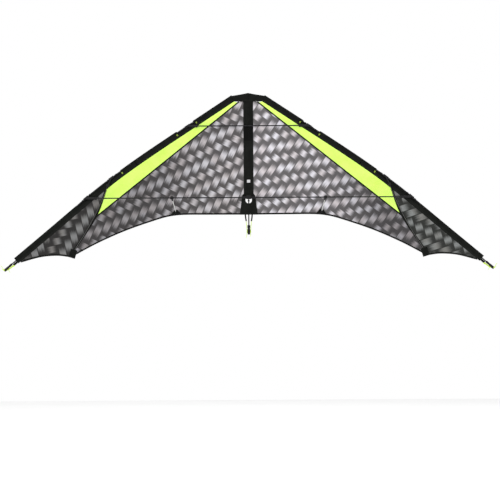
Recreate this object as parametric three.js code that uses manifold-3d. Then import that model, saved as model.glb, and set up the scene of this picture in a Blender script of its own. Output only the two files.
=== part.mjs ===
// A dual-line delta sport kite, nose up: +X along the span, +Z towards the nose, -Y towards the flyer.
// The origin is the middle of the centre fitting. Lengths are in millimetres.
import * as THREE from 'three';
import { mergeVertices } from 'three/addons/utils/BufferGeometryUtils.js';
import Module from 'manifold-3d';

const wasm = await Module();
wasm.setup();

// Driving dimensions: rods
const TUBE_RADIUS = 3;
const TUBE_BORE = 2.3;
const FERRULE_RADIUS = 1.9;
const FERRULE_REACH = 45;
const STANDOFF_RADIUS = 2;
const BATTEN_RADIUS = 1.5;
const LINE_RADIUS = 1.3;
const ROD_SIDES = 10;
const FIT_GAP = 0.4;
const BORE_RADIUS = TUBE_RADIUS + FIT_GAP;

// Driving dimensions: layout of the frame
const SPINE_Y = 6;
const SPINE_TOP = 496;
const SPINE_END = -150;
const CENTRE_ARM_END = 30;
const LOWER_SPREADER_Y = -9;
const LOWER_SPREADER_START = CENTRE_ARM_END + 0.5;
const LOWER_SPREADER_END = 785;
const UPPER_SPREADER_Y = -9;
const UPPER_SPREADER_Z = 351;
const UPPER_SPREADER_END = 291;
const UPPER_SOCKET_MOUTH = 248;
const LE_ROD_START = 90;
const LE_ROD_JOINT = 650;
const LE_ROD_END = 1171;
const UPPER_CONNECTOR_X = 298;
const LOWER_CONNECTOR_X = 797;
const BATTEN_CONNECTOR_X = 672;
const STANDOFF_X = 376;
const STANDOFF_FOOT = new THREE.Vector2(359, -69);

// Driving dimensions: cloth
const SAIL_THICKNESS = 1.2;
const TAPE_THICKNESS = 1.2;
const LAYER_STEP = 1.8;
const SLEEVE_START = 86;
const SLEEVE_JOIN = 560;
const SLEEVE_END = 1150;
const SLEEVE_WIDTH = 33;
const SLEEVE_WALL = 0.8;
const HEM_WIDTH = 8;
const STRIP_HALF_WIDTH = 24;
const NOSE_TOP = 512;
const NOSE_EDGE = 470;
const NOSE_HALF_WIDTH = 85;
const TAIL_EDGE = -84;
const TAIL_PATCH_TOP = 20;
const TAIL_PATCH_HALF_WIDTH = 44;
const TAIL_PATCH_SHOULDER = 32;
const HOLE_RADIUS = 15.5;
const HOLE_LOW = -13;
const HOLE_HIGH = -4;
const SEAM_GAP = 0.5;
const BATTEN_LINE = [new THREE.Vector2(697, 37), new THREE.Vector2(747, -87), new THREE.Vector2(858, -265)];

const finishes = {
  carbon: { color: 0x16161a, roughness: 0.3, metalness: 0 },
  fibreglass: { color: 0xb9b9b4, roughness: 0.35, metalness: 0 },
  fitting: { color: 0x0e0e0f, roughness: 0.55, metalness: 0 },
  dacron: { color: 0x191b18, roughness: 0.8, metalness: 0 },
  print: { color: 0x8d8a8e, roughness: 0.6, metalness: 0 },
  neon: { color: 0xd4fb5a, roughness: 0.6, metalness: 0 },
  line: { color: 0xd0f22c, roughness: 0.7, metalness: 0 },
};

const kite = new THREE.Group();

function add(name, finish, geometry, parent = kite) {
  const mesh = new THREE.Mesh(geometry, new THREE.MeshStandardMaterial(finishes[finish]));
  mesh.name = name;
  parent.add(mesh);
  return mesh;
}

// A smooth height along x through a few points, as a cubic with slopes taken from the neighbours.
function profile(points) {
  const slope = points.map((p, i) => {
    const before = points[Math.max(i - 1, 0)];
    const after = points[Math.min(i + 1, points.length - 1)];
    return (after[1] - before[1]) / (after[0] - before[0]);
  });
  return (x) => {
    let i = 0;
    while (i < points.length - 2 && x > points[i + 1][0]) {
      i += 1;
    }
    const [x0, z0] = points[i];
    const [x1, z1] = points[i + 1];
    const width = x1 - x0;
    const t = (x - x0) / width;
    const ease = t * t * (3 - 2 * t);
    const lead = t * (1 - t) * (1 - t) * slope[i] * width;
    const trail = t * t * (1 - t) * slope[i + 1] * width;
    if (t < 0) {
      return z0 + slope[i] * (x - x0);
    }
    return z0 + (z1 - z0) * ease + lead - trail;
  };
}

// Heights of one wing's outlines over x, from the middle to the tip.
const sleeveEdge = profile([
  [60, 515.5], [232, 402.5], [487, 235], [643, 126], [741, 49], [839, -31], [977, -147], [1150, -291],
]);
const rodLine = profile([
  [60, 507], [290, 356], [487, 227.5], [643, 120], [775, 20], [960, -143], [1200, -354],
]);
const trailingEdge = profile([
  [0, -84], [200, -82.5], [330, -82.5], [400, -91], [470, -111], [608, -159], [745, -221], [866, -291],
]);
const tipEdge = profile([[866, -291], [940, -280], [1020, -286], [1110, -309]]);
const sailBack = profile([
  [0, 0], [120, 44.5], [240, 89], [320, 117], [350, 124], [380, 126], [450, 121], [600, 104], [862, 66],
  [1000, 38], [1133, 8], [1200, 2],
]);

function inward(x) {
  const run = new THREE.Vector2(1, sleeveEdge(x + 1) - sleeveEdge(x)).normalize();
  return new THREE.Vector2(run.y, -run.x);
}

function sleevePoint(x, inset) {
  return new THREE.Vector2(x, sleeveEdge(x)).addScaledVector(inward(x), inset);
}

// How far the sail lies behind the plane of the leading edges: nothing there or at the spine, and most
// at the standoffs.
function sailDepth(x, z) {
  const top = Math.min(NOSE_EDGE, sleeveEdge(x) + SLEEVE_WIDTH / inward(x).y);
  const bottom = x < 866 ? trailingEdge(x) : tipEdge(x);
  const down = THREE.MathUtils.clamp((top - z) / (top - bottom), 0, 1);
  return sailBack(x) * (1 - (1 - down) ** 1.4);
}

// Turns the faces of a closed shape outwards, whichever way it was mirrored.
function facingOut(geometry) {
  const merged = geometry.clone();
  merged.deleteAttribute('normal');
  merged.deleteAttribute('uv');
  const closed = mergeVertices(merged, 1e-4);
  const { position } = closed.attributes;
  const index = closed.index.array;
  const [a, b, c] = [new THREE.Vector3(), new THREE.Vector3(), new THREE.Vector3()];
  let volume = 0;
  for (let i = 0; i < index.length; i += 3) {
    a.fromBufferAttribute(position, index[i]);
    b.fromBufferAttribute(position, index[i + 1]);
    c.fromBufferAttribute(position, index[i + 2]);
    volume += a.dot(b.cross(c));
  }
  if (volume < 0) {
    for (let i = 0; i < index.length; i += 3) {
      [index[i], index[i + 1]] = [index[i + 1], index[i]];
    }
  }
  closed.computeVertexNormals();
  return closed;
}

// Cuts the squares of a box's back along the same diagonals as those of its front, so that a sheet bent
// from it keeps its thickness.
function splitBackLikeFront(box) {
  const { start, count } = box.groups[5];
  for (let i = start; i < start + count; i += 6) {
    box.index.setX(i + 2, box.index.getX(i + 4));
    box.index.setX(i + 3, box.index.getX(i));
  }
}

// A closed sheet made by bending a box: place(u, v, w) sets a point, u and v along it and w through it.
function bentSheet(alongU, alongV, place) {
  const geometry = new THREE.BoxGeometry(1, 1, 1, alongU, alongV, 1);
  splitBackLikeFront(geometry);
  const { position } = geometry.attributes;
  for (let i = 0; i < position.count; i += 1) {
    const placed = place(position.getX(i) + 0.5, position.getY(i) + 0.5, position.getZ(i) + 0.5);
    position.setXYZ(i, placed.x, placed.y, placed.z);
  }
  return facingOut(geometry);
}

// A sheet that lies on the sail, or steps in front of it, from its outline in the plane of the span.
function sailSheet(side, alongU, alongV, thickness, step, flat) {
  return bentSheet(alongU, alongV, (u, v, w) => {
    const p = flat(u, v);
    const y = sailDepth(p.x, p.y) - step + (w - 0.5) * thickness;
    return new THREE.Vector3(side * p.x, y, p.y);
  });
}

function circle(radius, bore = 0) {
  const shape = new THREE.Shape().absarc(0, 0, radius, 0, 2 * Math.PI, false);
  if (bore > 0) {
    shape.holes.push(new THREE.Path().absarc(0, 0, bore, 0, 2 * Math.PI, true));
  }
  return shape;
}

function tube(points, steps, radius, bore = 0, sides = ROD_SIDES) {
  const path = points.length === 2 ? new THREE.LineCurve3(...points) : new THREE.CatmullRomCurve3(points);
  return facingOut(new THREE.ExtrudeGeometry(circle(radius, bore), {
    extrudePath: path,
    steps,
    curveSegments: sides / 2,
    bevelEnabled: false,
  }));
}

function solid(geometry) {
  const closed = facingOut(geometry);
  return new wasm.Manifold(new wasm.Mesh({
    numProp: 3,
    vertProperties: new Float32Array(closed.attributes.position.array),
    triVerts: new Uint32Array(closed.index.array),
  }));
}

function fromSolid(manifold) {
  const mesh = manifold.getMesh();
  const geometry = new THREE.BufferGeometry();
  geometry.setAttribute('position', new THREE.BufferAttribute(new Float32Array(mesh.vertProperties), 3));
  geometry.setIndex(new THREE.BufferAttribute(new Uint32Array(mesh.triVerts), 1));
  return facingOut(geometry);
}

function bar(from, to, radius, sides = 12) {
  const run = to.clone().sub(from);
  const geometry = new THREE.CylinderGeometry(radius, radius, run.length(), sides);
  const turn = new THREE.Quaternion().setFromUnitVectors(new THREE.Vector3(0, 1, 0), run.normalize());
  geometry.applyQuaternion(turn);
  const middle = from.clone().add(to).multiplyScalar(0.5);
  return geometry.translate(middle.x, middle.y, middle.z);
}

function block(width, depth, height, x, y, z) {
  return new THREE.BoxGeometry(width, depth, height).translate(x, y, z);
}

// Joins the solids in `keep` and cuts those in `cut` out of them.
function fitting(keep, cut) {
  let body = solid(keep[0]);
  for (const piece of keep.slice(1)) {
    body = body.add(solid(piece));
  }
  for (const piece of cut) {
    body = body.subtract(solid(piece));
  }
  return fromSolid(body);
}

function rodPoint(side, x) {
  return new THREE.Vector3(side * x, 0, rodLine(x));
}

function rodPoints(side, from, to, count) {
  return Array.from({ length: count }, (_, i) => rodPoint(side, from + ((to - from) * i) / (count - 1)));
}

// An arrow nock: a round plug-on cap with a slot across its end, from its open end to its tip.
function nock(from, direction, length, radius) {
  const outline = [
    [0, 0], [radius * 0.8, 0], [radius, 6], [radius, length * 0.55], [radius * 0.7, length - 2],
    [radius * 0.45, length], [0, length],
  ].map(([x, y]) => new THREE.Vector2(x, y));
  const body = new THREE.LatheGeometry(outline, 14);
  const slot = block(4 * radius, 9, 2 * LINE_RADIUS + 1, 0, length - 3, 0);
  const up = new THREE.Vector3(0, 1, 0);
  const bore = bar(new THREE.Vector3(0, -1, 0), new THREE.Vector3(0, 15, 0), BORE_RADIUS, ROD_SIDES);
  const turn = new THREE.Quaternion().setFromUnitVectors(up, direction.clone().normalize());
  const shape = fitting([body], [slot, bore]);
  shape.applyQuaternion(turn);
  return facingOut(shape.translate(from.x, from.y, from.z));
}

// Frame in the middle
function buildSpine() {
  const at = (z) => new THREE.Vector3(0, SPINE_Y, z);
  add('spine_rod', 'carbon', tube([at(SPINE_END), at(SPINE_TOP)], 1, TUBE_RADIUS));
  add('spine_top_cap', 'fitting', fitting(
    [bar(at(SPINE_TOP - 10), at(SPINE_TOP + 4), 4.6, 14)],
    [bar(at(SPINE_TOP - 11), at(SPINE_TOP + FIT_GAP), TUBE_RADIUS + FIT_GAP, ROD_SIDES)],
  ));
  add('tail_nock', 'fitting', nock(at(-135), new THREE.Vector3(0, 0, -1), 46, 7));
  const sleeveEnds = [at(16), at(SPINE_TOP - 14)];
  add('spine_sleeve', 'dacron', tube(sleeveEnds, 1, TUBE_RADIUS + 1.3, TUBE_RADIUS + FIT_GAP, 12));
}

function buildCentreT() {
  const across = (x) => new THREE.Vector3(x, LOWER_SPREADER_Y, 0);
  const onSpine = (z) => new THREE.Vector3(0, SPINE_Y, z);
  const post = (low, high, r) => bar(onSpine(low), onSpine(high), r);
  const socket = (s) => bar(across(s * 5), across(s * (CENTRE_ARM_END + 10)), BORE_RADIUS);
  add('centre_t', 'fitting', fitting(
    [
      bar(across(-CENTRE_ARM_END), across(CENTRE_ARM_END), 6.5),
      block(20, 16, 15, 0, LOWER_SPREADER_Y, 0.5),
      post(-7, 9, 7),
      block(13, 12, 14, 0, 1, 1.5),
      block(10, 4, 12, 0, 11.5, 1),
    ],
    [socket(1), socket(-1), post(-20, 20, BORE_RADIUS)],
  ));
}

// The webbing loop under the tail, which leaves two ends for the tension line.
function buildTailWebbing() {
  const across = [[-13, -114], [-16, -92], [-15, -78], [0, -76], [15, -78], [16, -92], [13, -114]];
  const path = new THREE.CatmullRomCurve3(across.map(([x, z]) => new THREE.Vector3(x, 0, z)));
  add('tail_webbing', 'dacron', bentSheet(18, 1, (u, v, w) => {
    const p = path.getPointAt(u);
    const run = path.getTangentAt(u);
    const spread = (v - 0.5) * 5;
    const back = Math.abs(p.x) * 0.4 + 3 - SPINE_Y * 1.5;
    return new THREE.Vector3(p.x - run.z * spread, back - 4.5 + w * 1.2, p.z + run.x * spread);
  }));
}

function buildTailLine() {
  const half = [[13, -5, -116], [11, -1, -138], [9, 4, -160], [6, SPINE_Y, -175], [0, SPINE_Y, -178.5]];
  const route = [...half.map(([x, y, z]) => [-x, y, z]), ...half.slice(0, -1).reverse()];
  const points = route.map(([x, y, z]) => new THREE.Vector3(x, y, z));
  add('tail_tension_line', 'line', tube(points, 16, LINE_RADIUS, 0, 8));
}

// The upper spreader is home in its left socket and stops at the mouth of the right one, so that the
// wings can fold.
function buildUpperSpreader() {
  const at = (x) => new THREE.Vector3(x, UPPER_SPREADER_Y, UPPER_SPREADER_Z);
  const free = UPPER_SOCKET_MOUTH - 0.5;
  add('upper_spreader', 'carbon', tube([at(-UPPER_SPREADER_END), at(free)], 1, TUBE_RADIUS));
}

// Rods of one wing
function buildWingRods(side, name) {
  const joint = LE_ROD_JOINT;
  const bore = TUBE_BORE;
  add(`${name}_leading_edge_rod_upper`, 'carbon',
    tube(rodPoints(side, LE_ROD_START, joint - 0.3, 10), 9, TUBE_RADIUS, bore));
  add(`${name}_leading_edge_rod_lower`, 'carbon',
    tube(rodPoints(side, joint + 0.3, LE_ROD_END, 10), 9, TUBE_RADIUS, bore));
  add(`${name}_ferrule`, 'fibreglass',
    tube(rodPoints(side, joint - FERRULE_REACH, joint + FERRULE_REACH, 6), 5, FERRULE_RADIUS));
  add(`${name}_lower_spreader`, 'carbon', tube([
    new THREE.Vector3(side * LOWER_SPREADER_START, LOWER_SPREADER_Y, 0),
    new THREE.Vector3(side * LOWER_SPREADER_END, LOWER_SPREADER_Y, 0),
  ], 1, TUBE_RADIUS));
  const tip = rodPoint(side, LE_ROD_END);
  const direction = tip.clone().sub(rodPoint(side, LE_ROD_END - 20)).normalize();
  add(`${name}_tip_nock`, 'fitting', nock(tip.clone().addScaledVector(direction, -14), direction, 50, 5.5));
}

// A moulded connector: a barrel on the leading-edge rod, and a socket that takes the end of another rod.
function connector(side, x, socketFrom, socketTo, rodEnd, boreRadius) {
  const middle = rodPoint(side, x);
  const direction = rodPoint(side, x + 10).sub(rodPoint(side, x - 10)).normalize();
  const along = (d) => middle.clone().addScaledVector(direction, d);
  const socket = socketTo.clone().sub(socketFrom).normalize();
  const hold = socketTo.clone().addScaledVector(socket, -7);
  const front = middle.clone().add(new THREE.Vector3(0, -6.5, 0));
  const boreFrom = socketFrom.clone().addScaledVector(socket, -5);
  const boreTo = rodEnd.clone().addScaledVector(socket, FIT_GAP);
  return fitting(
    [bar(along(-14), along(14), 6.2), bar(socketFrom, socketTo, boreRadius + 2.6), bar(hold, front, 4.2)],
    [bar(along(-30), along(30), BORE_RADIUS, 14), bar(boreFrom, boreTo, boreRadius, 14)],
  );
}

function buildConnectors(side, name) {
  const across = (x, y, z) => new THREE.Vector3(side * x, y, z);
  add(`${name}_upper_connector`, 'fitting', connector(
    side, UPPER_CONNECTOR_X,
    across(UPPER_SOCKET_MOUTH, UPPER_SPREADER_Y, UPPER_SPREADER_Z),
    across(300, UPPER_SPREADER_Y, UPPER_SPREADER_Z),
    across(UPPER_SPREADER_END, UPPER_SPREADER_Y, UPPER_SPREADER_Z), BORE_RADIUS,
  ));
  add(`${name}_lower_connector`, 'fitting', connector(
    side, LOWER_CONNECTOR_X,
    across(744, LOWER_SPREADER_Y, 0), across(798, LOWER_SPREADER_Y, 0),
    across(LOWER_SPREADER_END, LOWER_SPREADER_Y, 0), BORE_RADIUS,
  ));
  const batten = battenPath(side);
  const top = batten.getPointAt(0);
  const run = batten.getTangentAt(0);
  const mouth = top.clone().addScaledVector(run, 8);
  const deep = top.clone().addScaledVector(run, -12);
  add(`${name}_batten_connector`, 'fitting',
    connector(side, BATTEN_CONNECTOR_X, mouth, deep, top, BATTEN_RADIUS + FIT_GAP));
}

// The batten runs just in front of the seam between the inner panels and the tip panel.
function battenPath(side) {
  const [top, bend, foot] = BATTEN_LINE;
  const flat = new THREE.QuadraticBezierCurve(
    new THREE.Vector2(top.x - 10, top.y + 22),
    new THREE.Vector2(bend.x - 8, bend.y + 3),
    new THREE.Vector2(foot.x - 8, foot.y + 13),
  );
  const points = flat.getPoints(6).map((p, i) => {
    const lift = 4 + 6 * (1 - i / 6) ** 3;
    return new THREE.Vector3(side * p.x, sailDepth(p.x, p.y) - lift, p.y);
  });
  return new THREE.CatmullRomCurve3(points);
}

function buildBatten(side, name) {
  add(`${name}_batten`, 'fibreglass', tube(battenPath(side).getSpacedPoints(8), 10, BATTEN_RADIUS, 0, 8));
}

// A standoff: a clip round the lower spreader, a rod back to the trailing edge, its end cap, and the seat
// for it on the sail.
function buildStandoff(side, name) {
  const hub = new THREE.Vector3(side * STANDOFF_X, LOWER_SPREADER_Y, 0);
  const footY = sailDepth(STANDOFF_FOOT.x, STANDOFF_FOOT.y) - 10;
  const foot = new THREE.Vector3(side * STANDOFF_FOOT.x, footY, STANDOFF_FOOT.y);
  const run = foot.clone().sub(hub).normalize();
  const from = (d) => hub.clone().addScaledVector(run, d);
  const length = foot.distanceTo(hub);
  const across = (x) => hub.clone().add(new THREE.Vector3(x, 0, 0));
  add(`${name}_standoff_clip`, 'fitting', fitting(
    [bar(across(-7), across(7), 6), bar(from(3), from(24), 4.4, 14)],
    [bar(across(-14), across(14), BORE_RADIUS, 14), bar(from(8), from(30), STANDOFF_RADIUS + FIT_GAP, 12)],
  ));
  add(`${name}_standoff_rod`, 'fibreglass', tube([from(8 + FIT_GAP), from(length - 3)], 1, STANDOFF_RADIUS));
  add(`${name}_standoff_cap`, 'fitting', fitting(
    [bar(from(length - 12), from(length), 3.4, 14)],
    [bar(from(length - 13), from(length - 3 + FIT_GAP), STANDOFF_RADIUS + FIT_GAP, 12)],
  ));
  add(`${name}_standoff_seat`, 'fitting', bar(from(length + FIT_GAP), from(length + 2.8), 6, 14));
}

// Places along the trailing edge where its line or its depth turns, closer together at the standoff.
const hemStations = [24.5, 90, 160, 230, 290, 325, 348, 372, 410, 470, 545, 625, 705, 785, 856.5];

// Sail of one wing
function buildPanels(side, name) {
  const [, bend, foot] = BATTEN_LINE;
  const columns = hemStations.length - 1;
  const cornerU = 1 / columns;
  const seamStart = new THREE.Vector2(47, 466);
  const lerp = (a, b, t) => a.clone().lerp(b, t);

  const hemTop = (u) => {
    const x = hemStations[Math.round(u * columns)];
    return new THREE.Vector2(x, trailingEdge(x) + HEM_WIDTH);
  };
  const panelTop = (u) => (u < cornerU + 1e-6
    ? lerp(new THREE.Vector2(STRIP_HALF_WIDTH + SEAM_GAP, 468.5), seamStart, u / cornerU)
    : lerp(seamStart, new THREE.Vector2(bend.x - 1.2, bend.y), (u - cornerU) / (1 - cornerU)));
  add(`${name}_inner_panel`, 'print', sailSheet(side, columns, 8, SAIL_THICKNESS, 0, (u, v) => {
    const lifted = hemTop(u).add(new THREE.Vector2(0, SEAM_GAP));
    return lerp(lifted, panelTop(u), v);
  }));
  add(`${name}_trailing_edge_hem`, 'dacron', sailSheet(side, columns, 1, TAPE_THICKNESS, 0, (u, v) => (
    hemTop(u).sub(new THREE.Vector2(0, (1 - v) * HEM_WIDTH)))));

  const neonTop = (u) => sleevePoint(THREE.MathUtils.lerp(93, 715, u), SLEEVE_WIDTH + SEAM_GAP);
  const neonLow = (u) => lerp(new THREE.Vector2(58, 458.2), new THREE.Vector2(bend.x - 0.6, bend.y + 0.8), u);
  add(`${name}_neon_panel`, 'neon', sailSheet(side, 10, 2, SAIL_THICKNESS, 0, (u, v) => (
    lerp(neonLow(u), neonTop(u), v))));

  const tipTop = (u) => sleevePoint(THREE.MathUtils.lerp(718, 1128, u), SLEEVE_WIDTH + SEAM_GAP);
  const tipLow = (u) => {
    const x = THREE.MathUtils.lerp(foot.x + 9, 1104, u);
    return new THREE.Vector2(x, tipEdge(x) + HEM_WIDTH + SEAM_GAP);
  };
  const bow = 11;
  add(`${name}_tip_panel`, 'print', sailSheet(side, 9, 4, SAIL_THICKNESS, 0, (u, v) => {
    const p = lerp(tipLow(u), tipTop(u), v);
    p.x -= bow * (1 - u) * (1 - Math.abs(2 * v - 1));
    return p;
  }));
}

// Stretches of the wing where the fold of the sleeve is cut away and the rod lies open.
const cutOuts = [[272, 352], [630, 700], [714, 843]];
const CUT_OUT_DEPTH = 14.5;
const CUT_OUT_RAMP = 3;

function cutOutInset(x) {
  const inside = cutOuts.map(([from, to]) => Math.min(x - from, to - x));
  const depth = Math.max(...inside);
  return CUT_OUT_DEPTH * THREE.MathUtils.clamp(depth / CUT_OUT_RAMP, 0, 1);
}

// The sleeve is one strip folded round the rod. Its section runs from the sewn edge in front, round the
// fold, to the sewn edge behind, and swells over the rod.
function sleeve(side, stations) {
  const fold = 5;
  const folded = bentSheet(stations.length - 1, 2 * fold, (u, v, w) => {
    const x = stations[Math.round(u * (stations.length - 1))];
    const stop = Math.round(v * 2 * fold) - fold;
    const inset = cutOutInset(x);
    const rodInset = (sleeveEdge(x) - rodLine(x)) * -inward(x).y;
    const beside = [inset, rodInset - 4.5, rodInset, rodInset + 4.5, rodInset + 10, SLEEVE_WIDTH];
    const s = Math.max(beside[Math.abs(stop)], inset + 0.7 * Math.abs(stop));
    const swell = inset > 0 ? 0.3 : 4.6;
    const half = 1.25 + swell * Math.exp(-(((s - rodInset) / 5.5) ** 2));
    const wall = w * SLEEVE_WALL;
    const p = sleevePoint(x, stop === 0 ? s + wall : s);
    return new THREE.Vector3(side * p.x, Math.sign(stop) * (half - wall), p.y);
  });
  const clearance = tube(rodPoints(side, stations[0] - 20, stations.at(-1) + 20, 16), 20, BORE_RADIUS);
  return fitting([folded], [clearance]);
}

function stationsBetween(from, to, spacing) {
  const count = Math.ceil((to - from) / spacing);
  const even = Array.from({ length: count + 1 }, (_, i) => from + ((to - from) * i) / count);
  const edges = cutOuts.flat().flatMap((x, i) => (i % 2 ? [x - CUT_OUT_RAMP, x] : [x, x + CUT_OUT_RAMP]));
  const inner = edges.filter((x) => x > from && x < to);
  const clear = even.filter((x) => inner.every((edge) => Math.abs(edge - x) > 8) || x === from || x === to);
  return [...clear, ...inner].sort((a, b) => a - b);
}

function buildSleeves(side, name) {
  add(`${name}_leading_edge_sleeve_inner`, 'dacron',
    sleeve(side, stationsBetween(SLEEVE_START, SLEEVE_JOIN - 0.3, 80)));
  add(`${name}_leading_edge_sleeve_outer`, 'dacron',
    sleeve(side, stationsBetween(SLEEVE_JOIN + 0.3, SLEEVE_END, 100)));
}

function buildCentreCloth(side, name) {
  const inner = 0.4;
  const { lerp } = THREE.MathUtils;
  const flat = (x, z) => new THREE.Vector2(x, z);
  add(`${name}_spine_strip`, 'dacron', sailSheet(side, 2, 12, TAPE_THICKNESS, 0, (u, v) => (
    flat(lerp(inner, STRIP_HALF_WIDTH, u), lerp(TAIL_PATCH_TOP + SEAM_GAP, 469, v)))));

  const noseTop = profile([[0, NOSE_TOP], [30, 506], [NOSE_HALF_WIDTH, 497]]);
  add(`${name}_nose_patch`, 'dacron', bentSheet(5, 1, (u, v, w) => {
    const x = lerp(inner, NOSE_HALF_WIDTH, u);
    const slant = (1 - v) * u * 18.5;
    const z = lerp(NOSE_EDGE, noseTop(x), v);
    return new THREE.Vector3(side * (x - slant), (w - 0.5) * 2.4, z);
  }));

  const shoulder = 0.9;
  const outline = (v) => (v > shoulder + 1e-6
    ? lerp(TAIL_PATCH_SHOULDER, STRIP_HALF_WIDTH - 1, (v - shoulder) / (1 - shoulder))
    : lerp(TAIL_PATCH_HALF_WIDTH, TAIL_PATCH_SHOULDER, v / shoulder));
  const patch = sailSheet(side, 4, 10, TAPE_THICKNESS, LAYER_STEP, (u, v) => (
    flat(lerp(inner, outline(v), u), lerp(TAIL_EDGE, TAIL_PATCH_TOP, v))));
  const slot = new THREE.Shape();
  slot.absarc(0, HOLE_HIGH, HOLE_RADIUS, 0, Math.PI, false);
  slot.absarc(0, HOLE_LOW, HOLE_RADIUS, Math.PI, 2 * Math.PI, false);
  const hole = new THREE.ExtrudeGeometry(slot, { depth: 120, curveSegments: 14, bevelEnabled: false });
  hole.rotateX(Math.PI / 2);
  hole.translate(0, 60, 0);
  add(`${name}_tail_patch`, 'dacron', fitting([patch], [hole]));
}

function buildTrim(side, name) {
  const foot = BATTEN_LINE[2];
  add(`${name}_standoff_patch`, 'dacron', sailSheet(side, 6, 2, TAPE_THICKNESS, 1.5 * LAYER_STEP, (u, v) => {
    const x = THREE.MathUtils.lerp(-30, 30, u) * (1 - 0.75 * v) + STANDOFF_FOOT.x;
    return new THREE.Vector2(x, trailingEdge(x) + v * 27);
  }));
  add(`${name}_corner_patch`, 'dacron', sailSheet(side, 3, 3, TAPE_THICKNESS, 1.5 * LAYER_STEP, (u, v) => {
    const x = foot.x + THREE.MathUtils.lerp(-17, 15, u) - v * 6;
    return new THREE.Vector2(x, THREE.MathUtils.lerp(foot.y - 27, foot.y + 8, v) + (u - 0.5) * 4);
  }));
  const end = sleevePoint(SLEEVE_END, 26);
  const run = rodPoint(1, 1150).sub(rodPoint(1, 1100)).normalize();
  add(`${name}_tip_tab`, 'dacron', bentSheet(3, 1, (u, v, w) => {
    const d = THREE.MathUtils.lerp(0.5, 24, u);
    const s = (v - 0.5) * 9;
    const x = end.x + run.x * d + run.z * s;
    return new THREE.Vector3(side * x, (w - 0.5) * 2.4, end.y + run.z * d - run.x * s);
  }));
}

// The line from the tab at the end of the sleeve, back along the nock and through its slot.
function buildTipLine(side, name) {
  const start = sleevePoint(SLEEVE_END, 26);
  const route = [[19.5, -17.2, 0], [38, -31, 3.5], [55.2, -40, 6], [62.6, -39.9, 0.4], [65.2, -39.1, -2.3]];
  const points = route.map(([x, z, back]) => new THREE.Vector3(side * (start.x + x), back, start.y + z));
  add(`${name}_tip_tension_line`, 'line', tube(points, 10, LINE_RADIUS, 0, 8));
}

buildSpine();
buildCentreT();
buildTailWebbing();
buildTailLine();
buildUpperSpreader();
for (const [side, name] of [[-1, 'left'], [1, 'right']]) {
  buildWingRods(side, name);
  buildConnectors(side, name);
  buildBatten(side, name);
  buildStandoff(side, name);
  buildPanels(side, name);
  buildSleeves(side, name);
  buildCentreCloth(side, name);
  buildTrim(side, name);
  buildTipLine(side, name);
}

export default kite;
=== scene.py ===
"""The looks of a dual-line delta sport kite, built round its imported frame.

The kite stands nose up: +X along the span, +Z up the spine and -Y towards the flyer. Outlines of the
cloth are in millimetres and every mesh is in metres.
"""

import logging
import math
from dataclasses import dataclass, field
from enum import Enum
from functools import lru_cache
from typing import Callable, ClassVar, Iterable, Sequence

import bmesh
import bpy
from bpy.types import Material, NodeSocket, Object
from mathutils import Matrix, Vector, noise


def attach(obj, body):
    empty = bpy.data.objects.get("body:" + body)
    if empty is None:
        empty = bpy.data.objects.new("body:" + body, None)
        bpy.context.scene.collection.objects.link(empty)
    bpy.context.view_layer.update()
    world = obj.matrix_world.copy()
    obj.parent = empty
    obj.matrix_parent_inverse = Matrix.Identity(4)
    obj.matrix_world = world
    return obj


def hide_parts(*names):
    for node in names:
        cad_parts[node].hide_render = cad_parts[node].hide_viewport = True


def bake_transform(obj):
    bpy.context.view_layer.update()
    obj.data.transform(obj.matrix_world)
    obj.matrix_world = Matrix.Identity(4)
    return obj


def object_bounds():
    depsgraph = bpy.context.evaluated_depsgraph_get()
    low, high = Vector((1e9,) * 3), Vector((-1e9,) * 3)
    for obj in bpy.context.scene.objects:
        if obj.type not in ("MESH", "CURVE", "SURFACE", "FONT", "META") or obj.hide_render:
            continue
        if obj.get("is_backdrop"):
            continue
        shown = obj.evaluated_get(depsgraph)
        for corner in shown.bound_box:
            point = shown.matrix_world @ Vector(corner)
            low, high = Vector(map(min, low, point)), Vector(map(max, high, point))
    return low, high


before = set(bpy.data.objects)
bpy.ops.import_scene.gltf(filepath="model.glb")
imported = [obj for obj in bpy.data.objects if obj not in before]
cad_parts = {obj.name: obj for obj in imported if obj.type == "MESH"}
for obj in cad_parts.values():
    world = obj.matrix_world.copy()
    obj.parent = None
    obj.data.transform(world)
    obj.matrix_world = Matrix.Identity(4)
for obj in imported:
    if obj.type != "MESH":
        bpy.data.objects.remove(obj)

CAD_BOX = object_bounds()
MM = 0.001
SHARP = math.radians(38)
log = logging.getLogger("kite")

Line = Sequence[Vector]
Mesh = bmesh.types.BMesh
Spot = Callable[[float, float], Vector]


class Side(Enum):
    """Which wing a piece belongs to, with the sign of its X."""

    LEFT = -1
    RIGHT = 1

    @property
    def label(self) -> str:
        """The side's name in the names of its pieces."""
        return self.name.lower()

    @property
    def wing(self) -> str:
        """The body that the wing's pieces move with."""
        return f"{self.label}_wing"

    @property
    def standoff(self) -> str:
        """The body that the standoff's pieces move with."""
        return f"{self.label}_standoff"


class Slot(Enum):
    """The material slots that the finishes name."""

    CARBON = "carbon"
    FIBREGLASS = "fibreglass"
    FITTING = "fitting"
    DACRON = "dacron"
    PRINT = "print"
    NEON = "neon"
    LINE = "line"


# ---------------------------------------------------------------- the outline of a wing


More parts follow.
